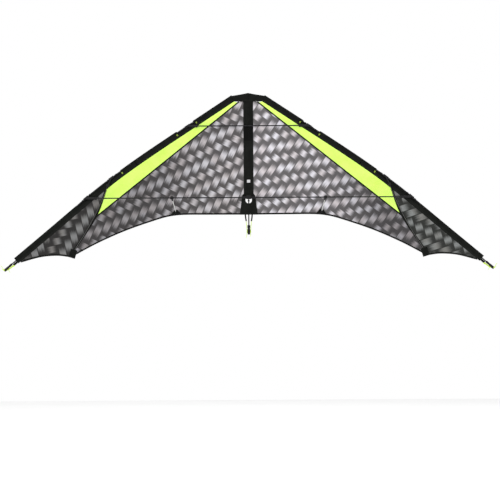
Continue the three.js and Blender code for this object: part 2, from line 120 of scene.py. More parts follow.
@dataclass(frozen=True)
class Profile:
    """A smooth height over x through a few points, with slopes taken from the neighbours."""

    points: tuple[tuple[float, float], ...]

    def _slope(self, i: int) -> float:
        """The slope at point i."""
        before = self.points[max(i - 1, 0)]
        after = self.points[min(i + 1, len(self.points) - 1)]
        return (after[1] - before[1]) / (after[0] - before[0])

    def at(self, x: float) -> float:
        """The height over x.

        Args:
            x: Distance from the middle of the kite, in millimetres.

        Returns:
            The height in millimetres.
        """
        last = len(self.points) - 2
        i = next((n for n in range(last) if x <= self.points[n + 1][0]), last)
        (x0, z0), (x1, z1) = self.points[i], self.points[i + 1]
        width = x1 - x0
        t = (x - x0) / width
        if t < 0:
            return z0 + self._slope(i) * (x - x0)
        lead = t * (1 - t) ** 2 * self._slope(i) * width
        trail = t * t * (1 - t) * self._slope(i + 1) * width
        return z0 + (z1 - z0) * t * t * (3 - 2 * t) + lead - trail


def mix(a: float, b: float, t: float) -> float:
    """The number a share t of the way from a to b."""
    return a + (b - a) * t


def smooth(low: float, high: float, x: float) -> float:
    """0 below low, 1 above high, and a smooth rise between."""
    t = min(max((x - low) / (high - low), 0), 1)
    return t * t * (3 - 2 * t)


class Planform:
    """Outlines of one wing, in millimetres, and the billow of the sail behind them."""

    sleeve_edge = Profile(
        ((60, 515.5), (232, 402.5), (487, 235), (643, 126), (741, 49), (839, -31), (977, -147), (1150, -291))
    )
    rod_line = Profile((
        (60, 507), (290, 356), (487, 227.5), (643, 120), (775, 20), (960, -143), (1200, -354),
    ))
    trailing_edge = Profile(
        ((0, -84), (200, -82.5), (330, -82.5), (400, -91), (470, -111), (608, -159), (746, -220), (874, -288))
    )
    tip_edge = Profile(((874, -288), (940, -280), (1020, -286), (1110, -309)))
    sail_back = Profile(
        (
            (0, 0), (120, 44.5), (240, 89), (320, 117), (350, 124), (380, 126),
            (450, 121), (600, 104), (862, 66),
            (1000, 38), (1133, 8), (1200, 2),
        )
    )
    nose_top = Profile(((0, 512), (30, 506), (85, 497)))
    nose_edge = 470.0
    sleeve_width = 33.0
    hem_width = 8.0
    batten_line = (Vector((700, 37)), Vector((752, -92)), Vector((866, -262)))
    seam_start = Vector((45, 469))
    cut_outs = ((272, 352), (630, 700), (714, 843))

    @classmethod
    def inward(cls, x: float) -> Vector:
        """The unit direction from the leading edge into the sail at x."""
        run = Vector((1, cls.sleeve_edge.at(x + 1) - cls.sleeve_edge.at(x))).normalized()
        return Vector((run.y, -run.x))

    @classmethod
    def sleeve_point(cls, x: float, inset: float) -> Vector:
        """The point that lies inset from the sleeve's outer edge at x."""
        return Vector((x, cls.sleeve_edge.at(x))) + cls.inward(x) * inset

    @classmethod
    def depth(cls, x: float, z: float) -> float:
        """How far the sail lies behind the plane of the leading edges at (x, z)."""
        top = min(cls.nose_edge, cls.sleeve_edge.at(x) - cls.sleeve_width / -cls.inward(x).y)
        bottom = cls.trailing_edge.at(x) if x < 874 else cls.tip_edge.at(x)
        down = min(max((top - z) / (top - bottom), 0), 1)
        return cls.sail_back.at(x) * (1 - (1 - down) ** 1.4)

    @classmethod
    def on_sail(cls, side: Side, spot: Vector, lift: float = 0) -> Vector:
        """A point of the sail in metres.

        Args:
            side: The wing.
            spot: The place in the plane of the span, in millimetres.
            lift: How far the point stands in front of the sail, in millimetres.

        Returns:
            The point in the kite's frame.
        """
        return Vector((side.value * spot.x, cls.depth(spot.x, spot.y) - lift, spot.y)) * MM

    @classmethod
    def rod(cls, side: Side, x: float) -> Vector:
        """The leading-edge rod's centre at x, in metres."""
        return Vector((side.value * x, 0, cls.rod_line.at(x))) * MM

    @classmethod
    def rods(cls, side: Side, start: float, end: float, steps: int) -> list[Vector]:
        """Points along the leading-edge rod from start to end."""
        return [cls.rod(side, mix(start, end, n / steps)) for n in range(steps + 1)]


# ---------------------------------------------------------------- materials


def arithmetic(operation: str, swap: bool = False) -> Callable[["Signal", "Value"], "Signal"]:
    """A method of Signal that adds one node of arithmetic.

    Args:
        operation: The node's operation.
        swap: True to put the other number first.

    Returns:
        The method.
    """
    return lambda one, two: one.shader.math(operation, *((two, one) if swap else (one, two)))


class Signal:
    """What a node's socket gives, with plain arithmetic on it."""

    def __init__(self, shader: "Shader", socket: NodeSocket) -> None:
        """Wraps a socket.

        Args:
            shader: The material's builder.
            socket: The output socket.
        """
        self.shader = shader
        self.socket = socket

    __add__ = __radd__ = arithmetic("ADD")
    __sub__ = arithmetic("SUBTRACT")
    __rsub__ = arithmetic("SUBTRACT", True)
    __mul__ = __rmul__ = arithmetic("MULTIPLY")
    __truediv__ = arithmetic("DIVIDE")

    def __abs__(self) -> "Signal":
        """Its size without its sign."""
        return self.shader.math("ABSOLUTE", self)

    def __round__(self) -> "Signal":
        """The nearest whole number."""
        return self.shader.math("ROUND", self)


Value = Signal | float
Colour = tuple[float, float, float, float]


def grey(level: float) -> Colour:
    """A neutral colour of one level."""
    return (level, level, level, 1.0)


def shade(colour: Colour, *shares: float) -> Colour:
    """A colour with its three channels times one share, or a share each."""
    red, green, blue = shares if len(shares) == 3 else shares * 3
    return (colour[0] * red, colour[1] * green, colour[2] * blue, 1.0)


class Shader:
    """Builds the nodes of one material round a Principled shader."""

    def __init__(self, name: str) -> None:
        """Starts an empty material.

        Args:
            name: The material's name.
        """
        self.material = bpy.data.materials.new(name)
        self.material.use_nodes = True
        self.tree = self.material.node_tree
        self.surface = self.tree.nodes["Principled BSDF"]
        self._coordinates = self.tree.nodes.new("ShaderNodeTexCoord")

    def feed(self, socket: NodeSocket, value: Value | Sequence[float]) -> None:
        """Links a socket to a signal, or gives it a plain value.

        Args:
            socket: The input socket.
            value: What it gets.
        """
        if isinstance(value, Signal):
            self.tree.links.new(value.socket, socket)
        else:
            socket.default_value = value

    def node(self, kind: str, inputs: dict[str | int, Value | Sequence[float]], output: int = 0,
             **settings: object) -> Signal:
        """Adds a node.

        Args:
            kind: The node's type, such as ShaderNodeBump.
            inputs: What its sockets get, by name or number.
            output: The number of the output that is used.
            **settings: Its settings.

        Returns:
            The output.
        """
        made = self.tree.nodes.new(kind)
        for name, value in settings.items():
            setattr(made, name, value)
        for key, value in inputs.items():
            self.feed(made.inputs[key], value)
        return Signal(self, made.outputs[output])

    def math(self, operation: str, *numbers: Value) -> Signal:
        """One step of arithmetic.

        Args:
            operation: The node's operation.
            *numbers: One to three numbers.

        Returns:
            The result.
        """
        return self.node("ShaderNodeMath", dict(enumerate(numbers)), operation=operation)

    def ease(self, value: Value, low: float, high: float, start: float = 0.0, end: float = 1.0) -> Signal:
        """Goes smoothly from one number to another as a value rises.

        Args:
            value: The value that drives it.
            low: Where the change starts.
            high: Where it ends.
            start: The number up to low.
            end: The number from high on.

        Returns:
            The number.
        """
        span = dict(enumerate((value, low, high, start, end)))
        return self.node("ShaderNodeMapRange", span, interpolation_type="SMOOTHSTEP")

    def vector(self, x: Value, y: Value, z: Value = 0.0) -> Signal:
        """A vector from three numbers."""
        return self.node("ShaderNodeCombineXYZ", {0: x, 1: y, 2: z})

    def place(self, output: str = "Object", scale: float = 1000.0) -> tuple[Signal, ...]:
        """The point that is shaded.

        Args:
            output: The coordinates: Object, or UV for across and along a cloth piece.
            scale: What turns metres into the numbers wanted, by default millimetres.

        Returns:
            Its three numbers.
        """
        point = Signal(self, self._coordinates.outputs[output])
        scaled = self.node("ShaderNodeVectorMath", {0: point, "Scale": scale}, operation="SCALE")
        first = self.node("ShaderNodeSeparateXYZ", {0: scaled})
        return tuple(Signal(self, socket) for socket in first.socket.node.outputs)

    def noise(self, vector: Signal, scale: float, detail: float = 3.0) -> Signal:
        """Soft noise.

        Args:
            vector: Where it is taken.
            scale: How fine it is.
            detail: How many finer octaves it has.

        Returns:
            The noise, from 0 to 1.
        """
        return self.node("ShaderNodeTexNoise", {"Vector": vector, "Scale": scale, "Detail": detail})

    def blend(self, share: Value, a: Value | Sequence[float], b: Value | Sequence[float]) -> Signal:
        """A colour between two.

        Args:
            share: 0 for the first and 1 for the second.
            a: The first colour.
            b: The second colour.

        Returns:
            The colour.
        """
        return self.node("ShaderNodeMix", {0: share, 6: a, 7: b}, 2, data_type="RGBA")

    def bump(self, height: Value, distance: float, strength: float = 1.0) -> None:
        """Raises the surface.

        Args:
            height: The height, from 0 to 1.
            distance: What a height of 1 is, in metres.
            strength: How much of it shows.
        """
        inputs = {"Height": height, "Distance": distance, "Strength": strength}
        self.feed(self.surface.inputs["Normal"], self.node("ShaderNodeBump", inputs))

    def set(self, **values: Value | Sequence[float]) -> None:
        """Sets sockets of the Principled shader.

        Args:
            **values: What each gets, by its name with _ for a space.
        """
        names = {socket.name.lower().replace(" ", "_"): socket for socket in self.surface.inputs}
        for name, value in values.items():
            self.feed(names[name], value)

    def weave(self, a: Signal, b: Signal, pitch: float) -> Signal:
        """A plain weave.

        Args:
            a: Distance along one yarn.
            b: Distance along the other.
            pitch: The distance between two yarns.

        Returns:
            Its height, from 0 to 1.
        """
        one, two = (self.math("SINE", value * (2 * math.pi / pitch)) for value in (a, b))
        return self.math("MULTIPLY_ADD", one * two, 0.5, 0.5)

    def ripstop(self, x: Signal, z: Signal) -> Signal:
        """Raises the weave of ripstop cloth, with its square grid of thicker threads.

        Args:
            x: Distance along the span, in millimetres.
            z: Height in millimetres.

        Returns:
            The grid: 1 on a thread and 0 between.
        """
        pitch, thread = 5.0, 0.3
        folded = [self.math("PINGPONG", value, pitch / 2) for value in (x, z)]
        grid = self.math("MAXIMUM", *(self.ease(value, 0.0, thread, 1.0, 0.0) for value in folded))
        self.bump(grid + self.weave(x, z, 0.8) * 0.35, 0.00012, 0.5)
        return grid

    def stitches(self, rows: Sequence[float], length: float = 3.2) -> Signal:
        """Rows of stitching along a cloth piece.

        Args:
            rows: Each row's distance across the piece, in millimetres.
            length: The length of a stitch with its gap.

        Returns:
            1 on a thread and 0 elsewhere.
        """
        across, along, _ = self.place("UV")
        thread = self.ease(self.math("PINGPONG", along, length / 2), length * 0.1, length * 0.16)
        found: Value = 0.0
        for row in rows:
            found = self.math("MAXIMUM", found, self.ease(abs(across - row), 0.25, 0.5, 1.0, 0.0))
        return found * thread


@dataclass(frozen=True)
class PrintedSailcloth:
    """Ripstop with a printed grey basket weave: wide tows that pass over and under each other."""

    slot: ClassVar[Slot] = Slot.PRINT
    warm: ClassVar[tuple[float, float, float]] = (1.0, 0.965, 0.965)
    cool: ClassVar[tuple[float, float, float]] = (0.97, 1.0, 1.045)
    name: str
    middle: tuple[float, float]
    turn: float
    light: Colour
    dark: Colour
    stack: tuple[float, float]
    row: tuple[float, float]
    upright: tuple[float, float]
    outer_light: float = 0.5
    fade: tuple[float, float] = (60.0, 640.0)

    def _tow(self, s: Shader, along: Signal, across: Signal, over_weft: bool) -> Signal:
        """How light the tows of one direction print a point.

        Args:
            s: The shader that is being built.
            along: Distance along the warp from the middle of a tow, in millimetres.
            across: Distance along the weft.
            over_weft: True for the short tows that cross the warp, False for the long ones.

        Returns:
            The light on the tows, 0 between them, with their streaks.
        """
        main, other = (along, across) if over_weft else (across, along)
        step, lean = self.stack if over_weft else self.stack[::-1]
        row_main, row_other = self.row if over_weft else self.row[::-1]
        row = round((other - main * (lean / step)) / (row_other - row_main * lean / step))
        beside = main - row * row_main
        column = round(beside / step)
        width = beside - column * step
        run = other - (column * lean + row * row_other)
        half = 0.487 * step
        fade_to = 0.5 * math.hypot(*self.stack) if over_weft else 0.56 * abs(self.upright[0])
        edge = s.ease(abs(width), half - 3.0, half, 1.0, 0.0)
        fibres = s.noise(s.vector(width * 0.4, run * 0.02, row * 7.3 + column * 3.1), 1.0, 2.0)
        wavy = run + (fibres - 0.5) * (fade_to * 0.7)
        shine = s.ease(abs(wavy), 0.0, fade_to, 1.0, 0.0)
        return edge * shine * s.math("MULTIPLY_ADD", fibres, 0.9, 0.5)

    def build(self, s: Shader) -> None:
        """Makes the nodes of the shader s."""
        x, _, z = s.place()
        angle = math.radians(self.turn)
        cos, sin = math.cos(angle), math.sin(angle)
        from_x, from_z = x - self.middle[0], z - self.middle[1]
        along, across = from_x * cos + from_z * sin, from_x * sin - from_z * cos
        weft = self._tow(s, along, across, True)
        warp = self._tow(s, along - self.upright[0], across - self.upright[1], False)
        cloud = s.ease(s.noise(s.vector(x, z), 0.011, 1.0), 0.35, 0.65)
        light = s.math("MAXIMUM", weft, warp) * s.ease(cloud, 0.0, 1.0, 0.84, 1.1)
        tinted = s.blend(cloud, shade(self.light, *self.warm), shade(self.light, *self.cool))
        outward = s.ease(abs(x), *self.fade, 1.0, self.outer_light)
        colour = s.blend(outward, grey(0.0), s.blend(light, self.dark, tinted))
        s.set(
            base_color=s.blend(s.ripstop(x, z) * 0.04, colour, grey(0.5)),
            roughness=s.ease(light, 0.0, 1.0, 0.55, 0.42),
            sheen_weight=0.02,
            specular_ior_level=0.15,
        )


@dataclass(frozen=True)
class NeonSailcloth:
    """Plain fluorescent ripstop."""

    slot: ClassVar[Slot] = Slot.NEON
    name: str = "neon_sailcloth"
    colour: Colour = (0.62, 0.93, 0.155, 1.0)
    deep: Colour = (0.56, 0.88, 0.115, 1.0)

    def build(self, s: Shader) -> None:
        """Makes the nodes of the shader s."""
        x, _, z = s.place()
        cloud = s.noise(s.vector(x, z), 0.02, 3.0)
        base = s.blend(s.ease(cloud, 0.3, 0.8), self.colour, self.deep)
        s.set(
            base_color=s.blend(s.ripstop(x, z) * 0.25, base, self.deep),
            roughness=s.ease(cloud, 0.2, 0.8, 0.42, 0.55),
            sheen_weight=0.02,
            specular_ior_level=0.2,
        )


@dataclass(frozen=True)
class WovenTape:
    """Black woven polyester, sewn down with rows of thread."""

    slot: ClassVar[Slot] = Slot.DACRON
    name: str = "black_dacron"
    colour: Colour = (0.0035, 0.004, 0.0032, 1.0)
    thread: Colour = (0.012, 0.013, 0.0115, 1.0)
    rows: tuple[float, ...] = ()
    gloss: tuple[float, float] | None = None

    def build(self, s: Shader) -> None:
        """Makes the nodes of the shader s."""
        x, y, z = s.place()
        wear = s.noise(s.vector(x, y, z), 0.035, 4.0)
        colour = s.blend(s.ease(wear, 0.35, 0.75), self.colour, shade(self.colour, 1.7))
        height = s.weave(x + y * 0.7, z + y * 0.7, 0.9) * 0.5
        if self.rows:
            thread = s.stitches(self.rows)
            colour = s.blend(thread, colour, self.thread)
            height = height + thread
        rough = s.ease(wear, 0.2, 0.8, 0.62, 0.5)
        if self.gloss:
            low, high = self.gloss
            inside = s.ease(z, low - 1, low + 1) * s.ease(z, high - 1, high + 1, 1.0, 0.0)
            colour = s.blend(inside * 0.8, colour, grey(0.0005))
            rough = rough - inside * 0.25
        s.set(base_color=colour, roughness=rough)
        s.set(sheen_weight=0.01, sheen_roughness=0.4, specular_ior_level=0.07)
        s.bump(height, 0.00025, 0.6)


@dataclass(frozen=True)
class WrappedTube:
    """Glossy black carbon tube, wound with a fine spiral, with scuffs."""

    slot: ClassVar[Slot] = Slot.CARBON
    name: str = "carbon_tube"
    colour: Colour = (0.006, 0.006, 0.007, 1.0)
    winding: float = 4.0

    def build(self, s: Shader) -> None:
        """Makes the nodes of the shader s."""
        x, y, z = s.place()
        spiral = s.math("PINGPONG", x + z + y * 1.2, self.winding / 2)
        scuff = s.noise(s.vector(x, y, z), 0.09, 5.0)
        s.set(
            base_color=s.blend(s.ease(scuff, 0.58, 0.8), self.colour, grey(0.02)),
            roughness=s.ease(scuff, 0.4, 0.75, 0.2, 0.42),
            specular_ior_level=0.25,
            coat_weight=0.08,
            coat_roughness=0.12,
        )
        s.bump(s.ease(spiral, 0.0, 0.5), 0.00006, 0.5)


@dataclass(frozen=True)
class GlassRod:
    """Pale pultruded glass fibre with streaks along it."""

    slot: ClassVar[Slot] = Slot.FIBREGLASS
    name: str = "glass_fibre"
    colour: Colour = (0.20, 0.20, 0.19, 1.0)

    def build(self, s: Shader) -> None:
        """Makes the nodes of the shader s."""
        x, y, z = s.place()
        fibres = s.noise(s.vector(x * 3.0, y * 0.1, z), 0.9, 2.0)
        s.set(
            base_color=s.blend(fibres, self.colour, shade(self.colour, 0.7)),
            roughness=s.ease(fibres, 0.3, 0.7, 0.25, 0.4),
        )
        s.bump(fibres, 0.00005, 0.4)


@dataclass(frozen=True)
class MouldedPlastic:
    """Black satin plastic with a fine spark-eroded grain."""

    slot: ClassVar[Slot] = Slot.FITTING
    name: str = "moulded_fitting"
    colour: Colour = (0.004, 0.004, 0.0045, 1.0)
    rough: float = 0.42

    def build(self, s: Shader) -> None:
        """Makes the nodes of the shader s."""
        point = s.vector(*s.place())
        wear = s.noise(point, 0.12, 4.0)
        s.set(
            base_color=s.blend(s.ease(wear, 0.55, 0.8), self.colour, grey(0.014)),
            roughness=s.ease(wear, 0.3, 0.7, self.rough, self.rough + 0.14),
            specular_ior_level=0.2,
        )
        s.bump(s.noise(point, 2.2, 3.0), 0.00006, 0.5)


@dataclass(frozen=True)
class BraidedLine:
    """Fluorescent braided cord, with painted shade in the grooves between its strands."""

    slot: ClassVar[Slot] = Slot.LINE
    name: str = "braided_line"
    colour: Colour = (0.62, 0.88, 0.02, 1.0)
    strand: float = 1.1

    def build(self, s: Shader) -> None:
        """Makes the nodes of the shader s."""
        x, y, z = s.place()
        braid = s.weave(x + y + z, x - y - z, self.strand)
        # Painted shade: where the braid's bump sinks into the grooves between strands, the colour is darkened
        # to 0.62 of the cord's colour.
        colour = s.blend(braid, shade(self.colour, 0.62), self.colour)
        s.set(base_color=colour, roughness=0.6, sheen_weight=0.15)
        s.bump(braid, 0.0003, 0.7)


@dataclass(frozen=True)
class WovenLabel:
    """A small pale woven label."""

    slot: ClassVar[Slot] = Slot.DACRON
    name: str = "woven_label"
    colour: Colour = (0.55, 0.55, 0.56, 1.0)

    def build(self, s: Shader) -> None:
        """Makes the nodes of the shader s."""
        x, _, z = s.place()
        threads = s.weave(x, z, 0.6)
        s.set(base_color=s.blend(threads, self.colour, grey(0.35)), roughness=0.7, sheen_weight=0.1)
        s.bump(threads, 0.0001, 0.5)


Cloth = PrintedSailcloth | NeonSailcloth | WovenTape | WovenLabel
Finish = Cloth | WrappedTube | GlassRod | MouldedPlastic | BraidedLine
SEWN_BOTH_EDGES = WovenTape("sewn_tape", rows=(1.8, 6.4))


@lru_cache(maxsize=None)
def material_of(finish: Finish) -> Material:
    """The material of a finish, made once."""
    shader = Shader(finish.name)
    finish.build(shader)
    return shader.material


# ---------------------------------------------------------------- mesh building


def placed(line: Line, distance: float) -> tuple[Vector, Vector]:
    """The point and the direction at a distance along a line, also past its ends.

    Args:
        line: The line's points, in metres.
        distance: Metres from its first point.

    Returns:
        The point and the unit direction there.
    """
    for n, (a, b) in enumerate(zip(line, line[1:])):
        run = (b - a).length
        if distance <= run or n == len(line) - 2:
            return a + (b - a).normalized() * distance, (b - a).normalized()
        distance -= run
    raise ValueError("a line has two points or more")


def length_of(line: Line) -> float:
    """The length of a line."""
    return sum((b - a).length for a, b in zip(line, line[1:]))


def curve(points: Line, steps: int = 8) -> list[Vector]:
    """A smooth line through a few points, as a Catmull-Rom curve."""
    ends = [points[0] * 2 - points[1], *points, points[-1] * 2 - points[-2]]
    made = []
    for before, a, b, after in zip(ends, ends[1:], ends[2:], ends[3:]):
        for n in range(steps):
            t = n / steps
            made.append(
                0.5 * (2 * a + (b - before) * t + (2 * before - 5 * a + 4 * b - after) * t * t
                       + (3 * a - before - 3 * b + after) * t ** 3)
            )
    return [*made, points[-1].copy()]


def turned(line: Line, outline: Sequence[tuple[float, float]], sides: int = 24, ring: bool = False) -> Mesh:
    """A round piece whose radius follows an outline along a line.

    Args:
        line: The middle of the piece, in metres.
        outline: Distance along the line and radius there, in millimetres.
        sides: The number of sides round it.
        ring: True where the outline closes on itself round a bore.

    Returns:
        The closed mesh.
    """
    made = bmesh.new()
    _, direction = placed(line, 0)
    across = direction.orthogonal().normalized()
    frames = []
    for distance, radius in outline:
        middle, direction = placed(line, distance * MM)
        across = (across - direction * across.dot(direction)).normalized()
        axes = Matrix((across, direction.cross(across), direction)).transposed().to_4x4()
        frames.append(Matrix.Translation(middle) @ axes @ Matrix.Scale(max(radius, 0.02) * MM, 4))
    loop = bmesh.ops.create_circle(made, segments=sides, radius=1.0, cap_ends=False)["verts"]
    edges = list({edge for vert in loop for edge in vert.link_edges})
    first = edges
    bmesh.ops.transform(made, matrix=frames[0], verts=loop)
    for before, after in zip(frames, frames[1:]):
        grown = bmesh.ops.extrude_edge_only(made, edges=edges)["geom"]
        loop = [part for part in grown if isinstance(part, bmesh.types.BMVert)]
        kept = set(loop)
        lines = (part for part in grown if isinstance(part, bmesh.types.BMEdge))
        edges = [line for line in lines if kept.issuperset(line.verts)]
        bmesh.ops.transform(made, matrix=after @ before.inverted(), verts=loop)
    if ring:
        bmesh.ops.bridge_loops(made, edges=first + edges)
    else:
        bmesh.ops.edgeloop_fill(made, edges=first)
        bmesh.ops.edgeloop_fill(made, edges=edges)
    bmesh.ops.recalc_face_normals(made, faces=made.faces)
    return made


def tube(line: Line, radius: float, bore: float = 0, sides: int = 20, spacing: float = 12) -> Mesh:
    """A rod along a line, with broken edges, and hollow ends where it has a bore.

    Args:
        line: The middle of the rod, in metres.
        radius: Its radius in millimetres.
        bore: The radius of its bore in millimetres, 0 for a solid rod.
        sides: The number of sides round it.
        spacing: The distance between its rings, in millimetres.

    Returns:
        The closed mesh.
    """
    total = length_of(line) / MM
    steps = max(int(total / spacing), 2)
    broken = radius * 0.12
    stations = [broken, *(total * n / steps for n in range(1, steps)), total - broken]
    body = [(station, radius) for station in stations]
    start = [(9, bore), (0, bore)] if bore else []
    end = [(total, bore), (total - 9, bore)] if bore else []
    outline = [*start, (0, radius - broken), *body, (total, radius - broken), *end]
    return turned(line, outline, sides)


def block(size: Vector, middle: Vector, bevel: float) -> Mesh:
    """A box with rounded edges, all in millimetres."""
    made = bmesh.new()
    bmesh.ops.create_cube(made, size=1.0)
    bmesh.ops.scale(made, vec=size * MM, verts=made.verts)
    bmesh.ops.translate(made, vec=middle * MM, verts=made.verts)
    bmesh.ops.bevel(
        made, geom=list(made.edges), offset=bevel * MM, segments=4, profile=0.5, affect="EDGES", material=-1,
        offset_type="OFFSET",
    )
    return made


def joined(parts: Iterable[Mesh]) -> Mesh:
    """One mesh that holds several closed parts."""
    made = bmesh.new()
    for part in parts:
        holder = bpy.data.meshes.new("part")
        part.to_mesh(holder)
        part.free()
        made.from_mesh(holder)
        bpy.data.meshes.remove(holder)
    return made


def bar(start: Vector, end: Vector, radius: float, bevel: float = 0.8, bore: float = 0) -> Mesh:
    """A straight moulded round bar or sleeve between two points in millimetres."""
    line = [start * MM, end * MM]
    total = (end - start).length
    outer = [(0, radius - bevel), (bevel * 0.3, radius - bevel * 0.3), (bevel, radius)]
    outer += [(total - d, r) for d, r in reversed(outer)]
    if bore:
        return turned(line, [(0, bore), *outer, (total, bore)], 28, ring=True)
    return turned(line, outer, 28)


def cloth(columns: int, rows: int, spot: Spot, thickness: float = 0.5) -> Mesh:
    """A sheet of cloth bent from a grid, with its UV map in metres across and along it.

    Args:
        columns: Steps along the sheet.
        rows: Steps across it.
        spot: Gives the point in metres at a share along the sheet and a share across it.
        thickness: The cloth's thickness in millimetres.

    Returns:
        The closed mesh of the sheet.
    """
    made = bmesh.new()
    bmesh.ops.create_grid(made, x_segments=columns, y_segments=rows, size=1.0)
    uv = made.loops.layers.uv.new("cloth")
    shares = {vert: ((vert.co.x + 1) / 2, (vert.co.y + 1) / 2) for vert in made.verts}
    middles = [spot(n / columns, 0.5) for n in range(columns + 1)]
    walked = [0.0]
    for a, b in zip(middles, middles[1:]):
        walked.append(walked[-1] + (b - a).length)
    widths = []
    for n in range(columns + 1):
        edge = [spot(n / columns, m / 4) for m in range(5)]
        widths.append(length_of(edge))
    for face in made.faces:
        for loop in face.loops:
            u, v = shares[loop.vert]
            n = round(u * columns)
            loop[uv].uv = (v * widths[n], walked[n])
    for vert, (u, v) in shares.items():
        vert.co = spot(u, v)
    made.normal_update()
    bmesh.ops.translate(made, vec=Vector((0, -thickness / 2 * MM, 0)), verts=made.verts)
    bmesh.ops.solidify(made, geom=list(made.faces), thickness=thickness * MM)
    bmesh.ops.recalc_face_normals(made, faces=made.faces)
    return made


def piece(name: str, mesh: Mesh, finish: Finish) -> Object:
    """Makes an object of a finished mesh.

    Args:
        name: The piece's name.
        mesh: Its mesh, which is freed.
        finish: What it is made of.

    Returns:
        The object, at the origin.
    """
    data = bpy.data.meshes.new(name)
    mesh.to_mesh(data)
    mesh.free()
    data.materials.append(material_of(finish))
    for polygon in data.polygons:
        polygon.use_smooth = True
    data.set_sharp_from_angle(angle=SHARP)
    made = bpy.data.objects.new(name, data)
    bpy.context.scene.collection.objects.link(made)
    finish.slot.value
    log.info("%s: %d faces", name, len(data.polygons))
    return made


def carried(made: Object, body: str, *nodes: str) -> Object:
    """Lets a piece ride on a body, in place of some of the frame's nodes."""
    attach(made, body)
    if nodes:
        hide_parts(*nodes)
    return made


def cut_size(points: Sequence[tuple[float, float]]) -> tuple[float, float]:
    """The smallest rectangle, among thirty turns, that a flat cut fits into.

    Args:
        points: Points all over the cut, in metres.

    Returns:
        The rectangle's width and length in metres.
    """
    best = (math.inf, math.inf)
    for n in range(30):
        angle = math.pi / 2 * n / 30
        cos, sin = math.cos(angle), math.sin(angle)
        ups = [x * cos + z * sin for x, z in points]
        offs = [z * cos - x * sin for x, z in points]
        sides = sorted((max(ups) - min(ups), max(offs) - min(offs)))
        if sides[0] * sides[1] < best[0] * best[1]:
            best = (sides[0], sides[1])
    return best


def declare_cut(made: Object, spot: Spot, with_pieces: Sequence[Object] = ()) -> None:
    """Measures the cut of a taut sheet: its flat width and length with the billow, and its area; the numbers
    are not kept.

    Args:
        made: The piece; not used.
        spot: The function that placed its cloth.
        with_pieces: The pieces that are sewn on it.
    """
    steps = 24
    grid = [[spot(n / steps, m / steps) for m in range(steps + 1)] for n in range(steps + 1)]
    area = 0.0
    for left, right in zip(grid, grid[1:]):
        for a, b, c, d in zip(left, right, right[1:], left[1:]):
            area += ((c - a).cross(d - b)).length / 2
    across = [sum((b - a).length for a, b in zip(line, line[1:])) for line in grid]
    flat = cut_size([(p.x, p.z) for line in grid for p in line])
    billow = max(across) / max(max((line[-1] - line[0]).length for line in grid), 1e-6)
    width, length = flat[0] * billow, flat[1] * billow
    round(width, 3)
    round(length, 3)
    round(min(area, width * length), 5)
    list(with_pieces)


# ---------------------------------------------------------------- the frame in the middle


